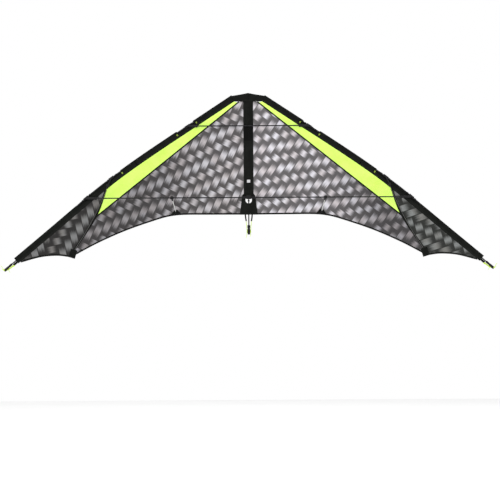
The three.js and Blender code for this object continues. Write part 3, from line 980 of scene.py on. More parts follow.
@dataclass
class CentreFrame:
    """The spine, its pocket and cap, the centre fitting and the upper spreader."""

    spine_y: float = 6.0
    spreader_y: float = -9.0
    tube_radius: float = 3.0
    bore: float = 2.3
    spine_ends: tuple[float, float] = (-150.0, 496.0)
    upper_z: float = 351.0
    upper_ends: tuple[float, float] = (-291.0, 247.5)
    arm_end: float = 30.0
    clip_heights: tuple[float, float] = (-16.0, 20.0)

    def on_spine(self, z: float) -> Vector:
        """A point of the spine's middle, in millimetres."""
        return Vector((0, self.spine_y, z))

    def build_spine(self) -> None:
        """The spine tube, its top cap, the pocket that holds it and the stopper rings round the fitting."""
        ends = [self.on_spine(z) * MM for z in self.spine_ends]
        rod = piece("spine_tube", tube(ends, self.tube_radius, self.bore), WrappedTube())
        carried(rod, "spine", "spine_rod")
        top = self.spine_ends[1]
        cap_outline = [
            (0, 3.1), (0, 4.2), (0.8, 4.6), (10, 4.6), (12.5, 4.2), (13.8, 3.2), (14.3, 1.6), (14.4, 0),
        ]
        cap_line = [self.on_spine(top - 10) * MM, self.on_spine(top + 5) * MM]
        cap = piece("spine_cap", turned(cap_line, cap_outline, 28), MouldedPlastic())
        carried(cap, "spine", "spine_top_cap")
        rings = [
            bar(self.on_spine(z - 3), self.on_spine(z + 3), 5.2, 0.9, self.tube_radius)
            for z in self.clip_heights
        ]
        carried(piece("spine_stoppers", joined(rings), MouldedPlastic("stopper_vinyl", rough=0.3)), "spine")

    def build_pocket(self) -> None:
        """The cloth pocket behind the sail that the spine slides into."""
        low, high = 30.0, self.spine_ends[1] - 14
        radius, wrap, round_share = 4.4, math.pi * 0.62, 0.72
        wing_x, wing_y = 10.5, 1.4

        def spot(u: float, v: float) -> Vector:
            """Where it lies at a share along and a share across."""
            turn = mix(-1, 1, v)
            angle = min(abs(turn) / round_share, 1.0) * wrap
            out = max(abs(turn) - round_share, 0.0) / (1 - round_share)
            x = mix(radius * math.sin(angle), wing_x, out)
            y = mix(self.spine_y + radius * math.cos(angle), wing_y, smooth(0, 1, out))
            return Vector((math.copysign(x, turn), y, mix(low, high, u))) * MM

        pocket = piece("spine_pocket", cloth(90, 36, spot, 0.45), WovenTape())
        carried(pocket, "spine", "spine_sleeve")
        (high - low) * MM

    def build_centre_fitting(self) -> None:
        """The moulded centre fitting: two spreader sockets on a block that clamps the spine."""
        y = self.spreader_y
        across = lambda x: Vector((x, y, 0))
        parts = []
        for s in (-1, 1):
            line = [across(s * 4) * MM, across(s * self.arm_end) * MM]
            parts.append(turned(line, [
                (0, 3.2), (0, 6.4), (17, 6.4), (18, 6.0), (20.2, 6.0), (21, 6.6), (25, 6.6), (25.8, 6.3),
                (26, 5.8), (26, 3.3),
            ], 32, ring=True))
            parts.append(block(Vector((15, 2.2, 3.4)), Vector((s * 16, y - 6.3, 0)), 0.7))
            parts.append(block(Vector((12, 3.2, 9)), Vector((s * 10, y + 5.8, 0)), 0.9))
        parts.append(block(Vector((23, 16, 19)), Vector((0, y, 1.2)), 2.6))
        parts.append(block(Vector((13, 12, 14)), Vector((0, 1, 1.5)), 1.6))
        parts.append(block(Vector((10, 4, 12)), Vector((0, 11.5, 1)), 1.1))
        parts.append(bar(self.on_spine(-7), self.on_spine(9), 7, 1.0, self.tube_radius + 0.1))
        parts.append(block(Vector((11, 1.4, 7)), Vector((0, y - 7.7, 0.5)), 0.5))
        fitting = piece("centre_fitting", joined(parts), MouldedPlastic())
        carried(fitting, "spine", "centre_t")

    def build_upper_spreader(self) -> None:
        """The short spreader between the leading edges."""
        ends = [Vector((x, self.spreader_y, self.upper_z)) * MM for x in self.upper_ends]
        rod = piece("upper_spreader_tube", tube(ends, self.tube_radius, self.bore), WrappedTube())
        carried(rod, Side.LEFT.wing, "upper_spreader")

    def build(self) -> None:
        """Makes all of it."""
        self.build_spine()
        self.build_pocket()
        self.build_centre_fitting()
        self.build_upper_spreader()


@dataclass
class Tail:
    """The nock on the spine's end, the webbing loop and the tension line with its free ends."""

    spine_y: float = 6.0
    nock_top: float = -135.0

    def build_nock(self) -> None:
        """The tail nock with its slot for the tension line."""
        length = 46
        ends = (self.nock_top, self.nock_top - length)
        line = [Vector((0, self.spine_y, z)) * MM for z in ends]
        shell = slotted_cap(line, length, 7.0, Vector((1, 0, 0)))
        carried(piece("tail_cap", shell, MouldedPlastic()), "spine", "tail_nock")

    def build_loop(self) -> None:
        """The webbing that is sewn behind the tail and whose two ends take the tension line."""
        route = [(-13, -114), (-16, -92), (-15, -78), (0, -76), (15, -78), (16, -92), (13, -114)]
        line = curve([Vector((x, 0, z)) for x, z in route], 10)
        total = length_of(line)

        def spot(u: float, v: float) -> Vector:
            """Where it lies at a share along and a share across."""
            middle, run = placed(line, u * total)
            spread = mix(-3.4, 3.4, v)
            back = abs(middle.x) * 0.4 + 3 - self.spine_y * 1.5
            return Vector((middle.x - run.z * spread, back - 4, middle.z + run.x * spread)) * MM

        strap = cloth(70, 4, spot, 1.3)
        ends = [
            bar(Vector((s * 13, -5.6, -115.4)), Vector((s * 13, -5.6, -110.5)), 3.7, 0.9) for s in (-1, 1)
        ]
        loop = piece("tail_webbing_loop", joined([strap, *ends]), WovenTape("tail_webbing", rows=(1.2, 4.0)))
        carried(loop, "spine", "tail_webbing")

    def build_line(self) -> None:
        """The tension line through the nock, its stopper knots and its cut ends."""
        half = [(13, -5, -116), (11, -1, -138), (9, 4, -160), (6, 6, -175), (0, 6, -178.5)]
        route = [(-x, y, z) for x, y, z in half] + [(x, y, z) for x, y, z in reversed(half[:-1])]
        strand = curve([Vector(p) * MM for p in route], 10)
        whiskers = [
            curve([Vector(p) * MM for p in points], 6)
            for points in (
                [(-7.5, 5.2, -168), (-10.5, 2.0, -178), (-11, 0, -189), (-14, -1.5, -197)],
                [(7.5, 5.2, -168), (9.0, 2.5, -176), (8.0, 1.0, -186), (5.5, 0.5, -192)],
            )
        ]
        parts = [tube(strand, 1.3, 0, 12, 2.5)]
        parts += [knot(Vector((x, 5, -168)), 2.6) for x in (-8, 8)]
        parts += [tube(line, 0.9, 0, 10, 2.5) for line in whiskers]
        line = piece("tail_bungee", joined(parts), BraidedLine())
        carried(line, "spine", "tail_tension_line")

    def build(self) -> None:
        """Makes all of it."""
        self.build_nock()
        self.build_loop()
        self.build_line()


def knot(middle: Vector, radius: float) -> Mesh:
    """An overhand knot: three rounded turns of cord pulled tight, in millimetres."""
    line = []
    for n in range(37):
        t = 2 * math.pi * n / 36
        x = (math.sin(t) + 2 * math.sin(2 * t)) / 3
        z = (math.cos(t) - 2 * math.cos(2 * t)) / 3
        line.append((middle + Vector((x, -math.sin(3 * t) * 0.5, z)) * radius) * MM)
    return tube(line, radius * 0.52, 0, 8, radius * 0.45)


def slotted_cap(line: Line, length: float, radius: float, across: Vector) -> Mesh:
    """A plug-on nock: a round cap, open at its foot, whose tip is split by a slot for a line.

    Args:
        line: From the foot to the tip, in metres.
        length: Its length in millimetres.
        radius: Its radius in millimetres.
        across: The direction of the slot.

    Returns:
        The closed mesh.
    """
    foot, run = placed(line, 0)
    body = [
        (11, 3.1), (0, 3.3), (0, radius * 0.9), (0.8, radius), (6, radius * 1.04),
        (length * 0.3, radius * 1.04), (length * 0.33, radius * 0.88),
        (length * 0.42, radius * 0.9), (length * 0.48, radius * 1.08),
        (length * 0.74, radius * 1.1), (length * 0.8, radius * 1.04), (length * 0.83, radius * 0.8),
    ]
    parts = [turned(line, body, 28)]
    aside = run.cross(across).normalized()
    for s in (-1, 1):
        middle = foot + run * length * 0.89 * MM + aside * s * radius * 0.62 * MM
        horn = bmesh.new()
        bmesh.ops.create_cube(horn, size=1.0)
        size = Vector((radius * 1.8, radius * 0.62, length * 0.24)) * MM
        bmesh.ops.scale(horn, vec=size, verts=horn.verts)
        bmesh.ops.bevel(
            horn, geom=list(horn.edges), offset=radius * 0.24 * MM, segments=4, profile=0.5, affect="EDGES",
            material=-1, offset_type="OFFSET",
        )
        along = run.cross(aside).normalized()
        axes = Matrix((along, aside, run)).transposed().to_4x4()
        bmesh.ops.transform(horn, matrix=Matrix.Translation(middle) @ axes, verts=horn.verts)
        bmesh.ops.recalc_face_normals(horn, faces=horn.faces)
        parts.append(horn)
    return joined(parts)


# ---------------------------------------------------------------- the frame of a wing


@dataclass
class WingPart:
    """What the sub-assemblies of a wing share: their side, and the names and the body that follow from it."""

    side: Side

    def name(self, part: str) -> str:
        """A part's name with the side in front."""
        return f"{self.side.label}_{part}"

    def carry(self, part: str, mesh: Mesh, finish: Finish, *nodes: str, body: str = "") -> Object:
        """Makes a piece that rides on a body and stands for some of this side's nodes.

        Args:
            part: The piece's name without its side.
            mesh: Its mesh, which is freed.
            finish: What it is made of.
            *nodes: The nodes that it stands for, without their side.
            body: The body that it rides on, by default the wing.

        Returns:
            The object.
        """
        made = piece(self.name(part), mesh, finish)
        return carried(made, body or self.side.wing, *(self.name(node) for node in nodes))

    def across(self, x: float, y: float, z: float) -> Vector:
        """A point in millimetres, x out from the middle of the kite."""
        return Vector((self.side.value * x, y, z))


@dataclass
class WingFrame(WingPart):
    """The rods of one wing, the fittings on its leading edge and the batten."""

    tube_radius: float = 3.0
    bore: float = 2.3
    spreader_y: float = -9.0
    rod_start: float = 90.0
    rod_joint: float = 650.0
    rod_end: float = 1171.0
    spreader_ends: tuple[float, float] = (30.5, 785.0)
    batten_radius: float = 1.5

    def build_rods(self) -> None:
        """The two leading-edge tubes and the lower spreader."""
        for part, start, end in (
            ("upper", self.rod_start, self.rod_joint - 0.3),
            ("lower", self.rod_joint + 0.3, self.rod_end),
        ):
            line = Planform.rods(self.side, start, end, 40)
            mesh = tube(line, self.tube_radius, self.bore)
            self.carry(f"leading_edge_tube_{part}", mesh, WrappedTube(), f"leading_edge_rod_{part}")
        ends = [self.across(x, self.spreader_y, 0) * MM for x in self.spreader_ends]
        mesh = tube(ends, self.tube_radius, self.bore)
        self.carry("lower_spreader_tube", mesh, WrappedTube(), "lower_spreader")
        joint = Planform.rods(self.side, self.rod_joint - 5, self.rod_joint + 5, 2)
        outline = [(0, 3.05), (0, 3.5), (1, 3.9), (11, 3.9), (12, 3.5), (12, 3.05)]
        collar = turned(joint, outline, 24, ring=True)
        self.carry("joint_collar", collar, MouldedPlastic("joint_vinyl", rough=0.3))

    def build_nock(self) -> None:
        """The nock on the tip of the leading edge."""
        tip = Planform.rod(self.side, self.rod_end)
        run = (tip - Planform.rod(self.side, self.rod_end - 20)).normalized()
        line = [tip - run * 14 * MM, tip + run * 36 * MM]
        slot_line = Vector((self.side.value * 0.4356, -0.751, 0.4957))
        self.carry("tip_cap", slotted_cap(line, 50, 5.5, slot_line), MouldedPlastic(), "tip_nock")

    def connector(self, x: float, mouth: Vector, deep: Vector, bore: float) -> Mesh:
        """A moulded connector: a barrel on the leading edge and a socket for another rod, joined by a web.

        Args:
            x: Where its barrel sits on the leading edge, in millimetres.
            mouth: The open end of its socket, in millimetres.
            deep: The far end of its socket.
            bore: The radius of the rod in the socket.

        Returns:
            The mesh of its closed parts.
        """
        middle = Planform.rod(self.side, x)
        run = (Planform.rod(self.side, x + 10) - Planform.rod(self.side, x - 10)).normalized()
        barrel = [
            (0, 3.2), (0, 5.4), (0.6, 6.0), (4, 6.2), (5, 5.8), (23, 5.8), (24, 6.2), (27.4, 6.0), (28, 5.4),
            (28, 3.2),
        ]
        parts = [turned([middle - run * 14 * MM, middle + run * 14 * MM], barrel, 28, ring=True)]
        socket = (deep - mouth).normalized()
        total = (deep - mouth).length
        outer = bore + 3.2
        sleeve = [
            (8, bore), (0, bore), (0, outer + 0.4), (0.8, outer + 1.2), (7, outer + 1.2), (8.5, outer + 0.4),
            (total - 6, outer - 0.5), (total - 2, outer - 0.9), (total, outer - 2.2),
        ]
        parts.append(turned([mouth * MM, deep * MM], sleeve, 28))
        hold = deep - socket * 7
        front = middle / MM + Vector((0, -4.0, 0))
        parts.append(bar(hold, front, 3.9, 0.6))
        rib_middle = (hold + front) / 2
        parts.append(block(Vector((3.2, abs(front.y - hold.y) + 6, 11)), rib_middle, 0.8))
        return joined(parts)

    def batten_line(self) -> list[Vector]:
        """The line of the batten, just in front of the seam of the tip panel, in metres."""
        top, bend, foot = Planform.batten_line
        a, b, c = top + Vector((-10, 22)), bend + Vector((-6, 5)), foot + Vector((-10, 12))
        spots = []
        for n in range(7):
            t = n / 6
            p = a * (1 - t) ** 2 + b * 2 * t * (1 - t) + c * t * t
            spots.append(Planform.on_sail(self.side, p, 4 + 6 * (1 - t) ** 3))
        return curve(spots, 8)

    def build_connectors(self) -> None:
        """The upper, lower and batten connectors."""
        y = self.spreader_y
        upper = self.connector(298, self.across(248, y, 351), self.across(300, y, 351), 3.1)
        lower = self.connector(797, self.across(744, y, 0), self.across(798, y, 0), 3.1)
        line = self.batten_line()
        run = (line[1] - line[0]).normalized()
        batten = joined([
            self.connector(672, (line[0] + run * 8 * MM) / MM, (line[0] - run * 12 * MM) / MM, 1.6),
            bar((line[0] - run * 10 * MM) / MM, (line[0] + run * 3 * MM) / MM, 8.5, 2.6),
        ])
        for part, mesh in (("upper", upper), ("lower", lower), ("batten", batten)):
            self.carry(f"{part}_fitting", mesh, MouldedPlastic(), f"{part}_connector")

    def build_batten(self) -> None:
        """The batten rod."""
        dark_glass = GlassRod("dark_glass_fibre", (0.055, 0.055, 0.052, 1.0))
        mesh = tube(self.batten_line(), self.batten_radius, 0, 14)
        self.carry("batten_rod", mesh, dark_glass, "batten")

    def build_stoppers(self) -> None:
        """Vinyl stopper rings beside each connector on the leading edge."""
        outline = [(0, 3.05), (0, 4.0), (0.8, 4.5), (6, 4.5), (6.8, 4.0), (6.8, 3.05)]
        rings = [
            turned(Planform.rods(self.side, x - 4, x + 4, 1), outline, 22, ring=True)
            for x in (281, 315, 689, 779, 815)
        ]
        self.carry("stopper_rings", joined(rings), MouldedPlastic("stopper_vinyl", rough=0.3))

    def dress_ferrule(self) -> None:
        """Gives the hidden ferrule its finish."""
        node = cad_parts[self.name("ferrule")]
        node.data.materials.clear()
        node.data.materials.append(material_of(GlassRod()))

    def build(self) -> None:
        """Makes all of it."""
        self.build_rods()
        self.build_nock()
        self.build_connectors()
        self.build_batten()
        self.build_stoppers()
        self.dress_ferrule()


@dataclass
class Standoff(WingPart):
    """One standoff: its clip round the lower spreader, its rod, its end cap, and the seat on the sail."""

    hub_x: float = 376.0
    foot: tuple[float, float] = (359.0, -69.0)
    spreader_y: float = -9.0
    foot_gap: float = 10.0
    rod_radius: float = 2.0

    def build(self) -> None:
        """Makes all of it."""
        hub = self.across(self.hub_x, self.spreader_y, 0)
        x, z = self.foot
        foot = self.across(x, Planform.depth(x, z) - self.foot_gap, z)
        run = (foot - hub).normalized()
        total = (foot - hub).length
        reach = lambda d: hub + run * d
        beside = lambda d: hub + Vector((d, 0, 0))
        clip = joined([
            turned([beside(-8) * MM, beside(8) * MM], [
                (0, 3.1), (0, 5.2), (0.7, 6.4), (2.6, 7.6), (5.4, 8.4), (8, 8.6),
                (10.6, 8.4), (13.4, 7.6), (15.3, 6.4), (16, 5.2), (16, 3.1),
            ], 28, ring=True),
            turned([reach(4) * MM, reach(24) * MM], [
                (0, 4.6), (6, 4.3), (15, 4.3), (16, 4.6), (19.4, 4.6), (20, 4.2), (20, 2.1), (12, 2.1),
            ], 28),
        ])
        self.carry("standoff_collar", clip, MouldedPlastic(), "standoff_clip", body=self.side.standoff)
        rod = tube([reach(8.4) * MM, reach(total - 3) * MM], self.rod_radius, 0, 18)
        pale_glass = GlassRod("pale_standoff", (0.62, 0.62, 0.60, 1.0))
        self.carry("standoff_stick", rod, pale_glass, "standoff_rod", body=self.side.standoff)
        cap = turned([reach(total - 12) * MM, reach(total) * MM], [
            (0, 2.1), (0, 2.9), (0.6, 3.3), (8, 3.4), (10.5, 3.1), (11.6, 2.3), (12, 1.0), (12, 0),
        ], 22)
        self.carry("standoff_end_cap", cap, MouldedPlastic(), "standoff_cap", body=self.side.standoff)
        seat = turned([reach(total + 0.4) * MM, reach(total + 3.6) * MM], [
            (0.9, 0), (0.8, 2.2), (0, 3.4), (0, 4.4), (0.6, 5.2), (1.6, 6.0), (2.4, 6.0), (2.8, 5.6),
            (2.8, 0),
        ], 28)
        self.carry("standoff_socket", seat, MouldedPlastic(), "standoff_seat")


# ---------------------------------------------------------------- the cloth of a wing


@dataclass
class Sail(WingPart):
    """The panels of one wing, their hem and their seams."""

    inner_prints: dict[Side, PrintedSailcloth] = field(default_factory=lambda: {
        Side.LEFT: PrintedSailcloth(
            "left_inner_print", (-238.6, 213.4), 63.9, (0.48, 0.456, 0.465, 1.0), (0.07, 0.065, 0.066, 1.0),
            stack=(36.0, 32.2), row=(-129.4, 21.8), upright=(-64.7, 10.9),
        ),
        Side.RIGHT: PrintedSailcloth(
            "right_inner_print", (225.9, 99.9), 53.6, (0.6, 0.57, 0.59, 1.0), (0.1, 0.094, 0.097, 1.0),
            stack=(32.7, 32.0), row=(-119.0, 32.4), upright=(-59.5, 16.2),
            outer_light=0.4, fade=(330.0, 720.0),
        ),
    })
    tip_prints: dict[Side, PrintedSailcloth] = field(default_factory=lambda: {
        Side.LEFT: PrintedSailcloth(
            "left_tip_print", (-912.7, -167.7), 100.5, (0.34, 0.333, 0.32, 1.0), (0.034, 0.032, 0.031, 1.0),
            stack=(35.3, 34.5), row=(-131.2, 30.4), upright=(-65.6, 15.2),
        ),
        Side.RIGHT: PrintedSailcloth(
            "right_tip_print", (928.7, -192.5), 17.6, (0.36, 0.365, 0.345, 1.0), (0.036, 0.038, 0.034, 1.0),
            stack=(38.0, 34.2), row=(-130.0, 21.4), upright=(-65.0, 10.7),
        ),
    })
    inner_start: float = 17.0
    overlap: float = 3.0
    seam_width: float = 6.5
    batten_tape_width: float = 8.5
    hem_lift: float = 0.9
    seam_lift: float = 0.8
    batten_tape_lift: float = 2.2
    pucker: float = 0.35

    def taut(self, spot: Vector, u: float, v: float, seed: float) -> Vector:
        """A point of a panel, with the slight ripples of sewn cloth, which die out at its edges.

        Args:
            spot: The place in the plane of the span, in millimetres.
            u: The share along the panel.
            v: The share across it.
            seed: Sets this panel's ripples apart from the others.

        Returns:
            The point in metres.
        """
        inside = math.sin(math.pi * min(max(u, 0), 1)) * math.sin(math.pi * min(max(v, 0), 1))
        drift = noise.noise(Vector((spot.x * 0.008, spot.y * 0.008, seed)))
        edge = math.exp(-min(v, 1 - v) * 14) * min(v, 1 - v) * 14
        ripple = math.sin(spot.x * 0.21 + seed * 5) * edge * self.pucker
        return Planform.on_sail(self.side, spot, inside * drift * 2.4 + ripple)

    def panel(self, part: str, columns: int, rows: int, flat: Callable[[float, float], Vector], seed: float,
              finish: Finish, node: str, sewn: Sequence[Object]) -> Object:
        """Makes one panel of the sail and measures its cut without keeping the numbers.

        Args:
            part: The panel's name without its side.
            columns: Steps along it.
            rows: Steps across it.
            flat: Gives the place in the plane of the span at a share along and a share across.
            seed: Sets its ripples apart.
            finish: Its cloth.
            node: The frame's node that it stands for, without its side.
            sewn: The hems and tapes that are sewn on it.

        Returns:
            The panel.
        """
        spot = lambda u, v: self.taut(flat(u, v), u, v, seed)
        made = self.carry(part, cloth(columns, rows, spot, 0.45), finish, node)
        declare_cut(made, spot, sewn)
        return made

    def inner(self, sewn: Sequence[Object]) -> None:
        """The big printed panel between the spine, the neon seam and the batten."""
        bend = Planform.batten_line[1]
        kink = 0.045

        def flat(u: float, v: float) -> Vector:
            """Where it lies at a share along and a share across."""
            x = mix(self.inner_start, 872, u)
            low = Vector((x, Planform.trailing_edge.at(x) + Planform.hem_width - self.overlap))
            start = Vector((self.inner_start, 473.0))
            end = Vector((bend.x + 2, bend.y + 2))
            if u < kink:
                high = start.lerp(Planform.seam_start, u / kink)
            else:
                high = Planform.seam_start.lerp(end, (u - kink) / (1 - kink))
            return low.lerp(high, v)

        self.panel("inner_sail", 150, 90, flat, 0.0, self.inner_prints[self.side], "inner_panel", sewn)

    def neon(self, sewn: Sequence[Object]) -> None:
        """The neon panel under the leading edge."""
        bend = Planform.batten_line[1]

        def flat(u: float, v: float) -> Vector:
            """Where it lies at a share along and a share across."""
            low = Vector((50, 465)).lerp(Vector((bend.x + 1, bend.y - 1)), u)
            return low.lerp(Planform.sleeve_point(mix(89, 717, u), Planform.sleeve_width - self.overlap), v)

        self.panel("neon_sail", 130, 18, flat, 3.0, NeonSailcloth(), "neon_panel", sewn)

    def tip(self, sewn: Sequence[Object]) -> None:
        """The printed panel outside the batten."""

        def flat(u: float, v: float) -> Vector:
            """Where it lies at a share along and a share across."""
            x = mix(870, 1107, u)
            low = Vector((x, Planform.tip_edge.at(x) + Planform.hem_width - self.overlap))
            high = Planform.sleeve_point(mix(716, 1130, u), Planform.sleeve_width - self.overlap)
            p = low.lerp(high, v)
            p.x -= 21 * (1 - u) * min(v / 0.6, (1 - v) / 0.4)
            return p

        self.panel("tip_sail", 70, 40, flat, 7.0, self.tip_prints[self.side], "tip_panel", sewn)

    def hem(self, part: str, ends: tuple[float, float], edge: Profile, steps: int, *nodes: str) -> Object:
        """The folded tape along an edge of the sail.

        Args:
            part: Its name without the side.
            ends: Where it starts and ends along the span, in millimetres.
            edge: The edge that it follows.
            steps: Steps along it.
            *nodes: The nodes that it stands for, without their side.

        Returns:
            The tape.
        """

        def spot(u: float, v: float) -> Vector:
            """Where it lies at a share along and a share across."""
            x = mix(*ends, u)
            p = Vector((x, edge.at(x) + Planform.hem_width * v))
            return Planform.on_sail(self.side, p, self.hem_lift * 0.5)

        return self.carry(part, cloth(steps, 3, spot, 1.5), SEWN_BOTH_EDGES, *nodes)

    def seam(self, part: str, route: Sequence[Vector], steps: int, width: float, lift: float) -> Object:
        """A tape over a seam, along a route in the plane of the span.

        Args:
            part: Its name without the side.
            route: Points of its middle, in millimetres.
            steps: Steps along it.
            width: Its width in millimetres.
            lift: How far it lies in front of the sail, in millimetres.

        Returns:
            The tape.
        """
        line = [Vector((p.x, 0, p.y)) for p in route]
        total = length_of(line)

        def spot(u: float, v: float) -> Vector:
            """Where it lies at a share along and a share across."""
            middle, run = placed(line, u * total)
            spread = mix(-0.5, 0.5, v) * width
            p = Vector((middle.x - run.z * spread, middle.z + run.x * spread))
            return Planform.on_sail(self.side, p, lift)

        return self.carry(part, cloth(steps, 4, spot, 0.5), SEWN_BOTH_EDGES)

    def build(self) -> None:
        """Makes all of it."""
        top, bend, foot = Planform.batten_line
        along_neon = [Planform.seam_start, bend]
        long_seam = self.seam("neon_seam_tape", along_neon, 120, self.seam_width, self.seam_lift)
        over_batten = curve([top + Vector((-1, 4)), bend, foot + Vector((2, -4))], 16)
        width, lift = self.batten_tape_width, self.batten_tape_lift
        batten_seam = self.seam("batten_seam_tape", over_batten, 60, width, lift)
        self.inner([self.hem("edge_hem", (22, 868), Planform.trailing_edge, 160, "trailing_edge_hem")])
        self.neon([long_seam])
        self.tip([self.hem("tip_hem", (866, 1118), Planform.tip_edge, 60), batten_seam])


@dataclass
class LeadingEdge(WingPart):
    """The folded sleeve round the leading-edge rod, in two lengths, and the bridle knots on it."""

    start: float = 86.0
    join: float = 560.0
    end: float = 1150.0
    rod_clearance: float = 3.7
    tucked_fold: float = 4.0
    cut_ramp: float = 5.0
    knots: tuple[float, ...] = (263.0, 357.0, 628.0)
    knot_inset: float = 17.0

    def cut(self, x: float) -> float:
        """How far the fold is cut open at x: 0 where the sleeve is whole, 1 where the rod lies bare."""
        inside = max(min(x - low, high - x) for low, high in Planform.cut_outs)
        return smooth(-self.cut_ramp / 2, self.cut_ramp / 2, inside)

    def sleeve(self, part: str, start: float, end: float, columns: int) -> None:
        """One length of the sleeve, whose fold is tucked behind the rod at each cut-out.

        Args:
            part: inner or outer.
            start: Where it starts along the span, in millimetres.
            end: Where it ends.
            columns: Steps along it.
        """
        width = Planform.sleeve_width

        def spot(u: float, v: float) -> Vector:
            """Where it lies at a share along and a share across."""
            x = mix(start, end, u)
            cut = self.cut(x)
            rod_inset = (Planform.sleeve_edge.at(x) - Planform.rod_line.at(x)) * -Planform.inward(x).y
            turn = mix(-1, 1, v)
            fold = self.tucked_fold * cut
            s = fold + (width - fold) * abs(turn) ** 1.7
            if s < rod_inset:
                rise = math.sqrt(max(1 - ((rod_inset - s) / rod_inset) ** 2, 0))
            else:
                rise = math.exp(-(((s - rod_inset) / 6.5) ** 2))
            half = max(0.7 * smooth(0, 2.5, s - fold), self.rod_clearance * rise)
            whole = math.copysign(half, turn)
            behind = mix(self.rod_clearance + 0.4, 0.7, smooth(13, 26, s))
            tucked = behind + 0.5 * smooth(0, 2, s - fold)
            if turn < 0:
                tucked = mix(self.rod_clearance, -0.7, smooth(11, 15, s))
            p = Planform.sleeve_point(x, s)
            return self.across(p.x, mix(whole, tucked, cut), p.y) * MM

        finish = WovenTape("sleeve_dacron", rows=(2.5, 5.0))
        mesh = cloth(columns, 34, spot, 0.4)
        made = self.carry(f"sleeve_{part}", mesh, finish, f"leading_edge_sleeve_{part}")
        length = length_of([spot(n / 40, 0.0) for n in range(41)])
        2 * width * MM
        round(length, 3)

    def build_knots(self) -> None:
        """The short neon loops of the bridle that come out through the front of the sleeve."""
        route = (
            (-5, -0.6, -1), (-4, -3.6, -2), (1, -5.2, -2.6), (5, -4.2, 0), (1, -5.2, 2.6), (-4, -3.6, 2),
            (-5, -0.6, 1),
        )
        parts = []
        for x in self.knots:
            p = Planform.sleeve_point(x, self.knot_inset)
            run = Planform.inward(x)
            place = lambda down, y, aside=0.0: self.across(
                p.x + run.x * down - run.y * aside, y, p.y + run.y * down + run.x * aside)
            loop = curve([place(*at) * MM for at in route], 6)
            parts += [tube(loop, 1.0, 0, 8, 2.0), knot(place(0, -6.2), 1.9)]
        self.carry("bridle_knots", joined(parts), BraidedLine("bridle_line", (0.30, 0.42, 0.03, 1.0)))

    def build(self) -> None:
        """Makes all of it."""
        self.sleeve("inner", self.start - 4, self.join + 2, 280)
        self.sleeve("outer", self.join - 1, self.end, 340)
        self.build_knots()


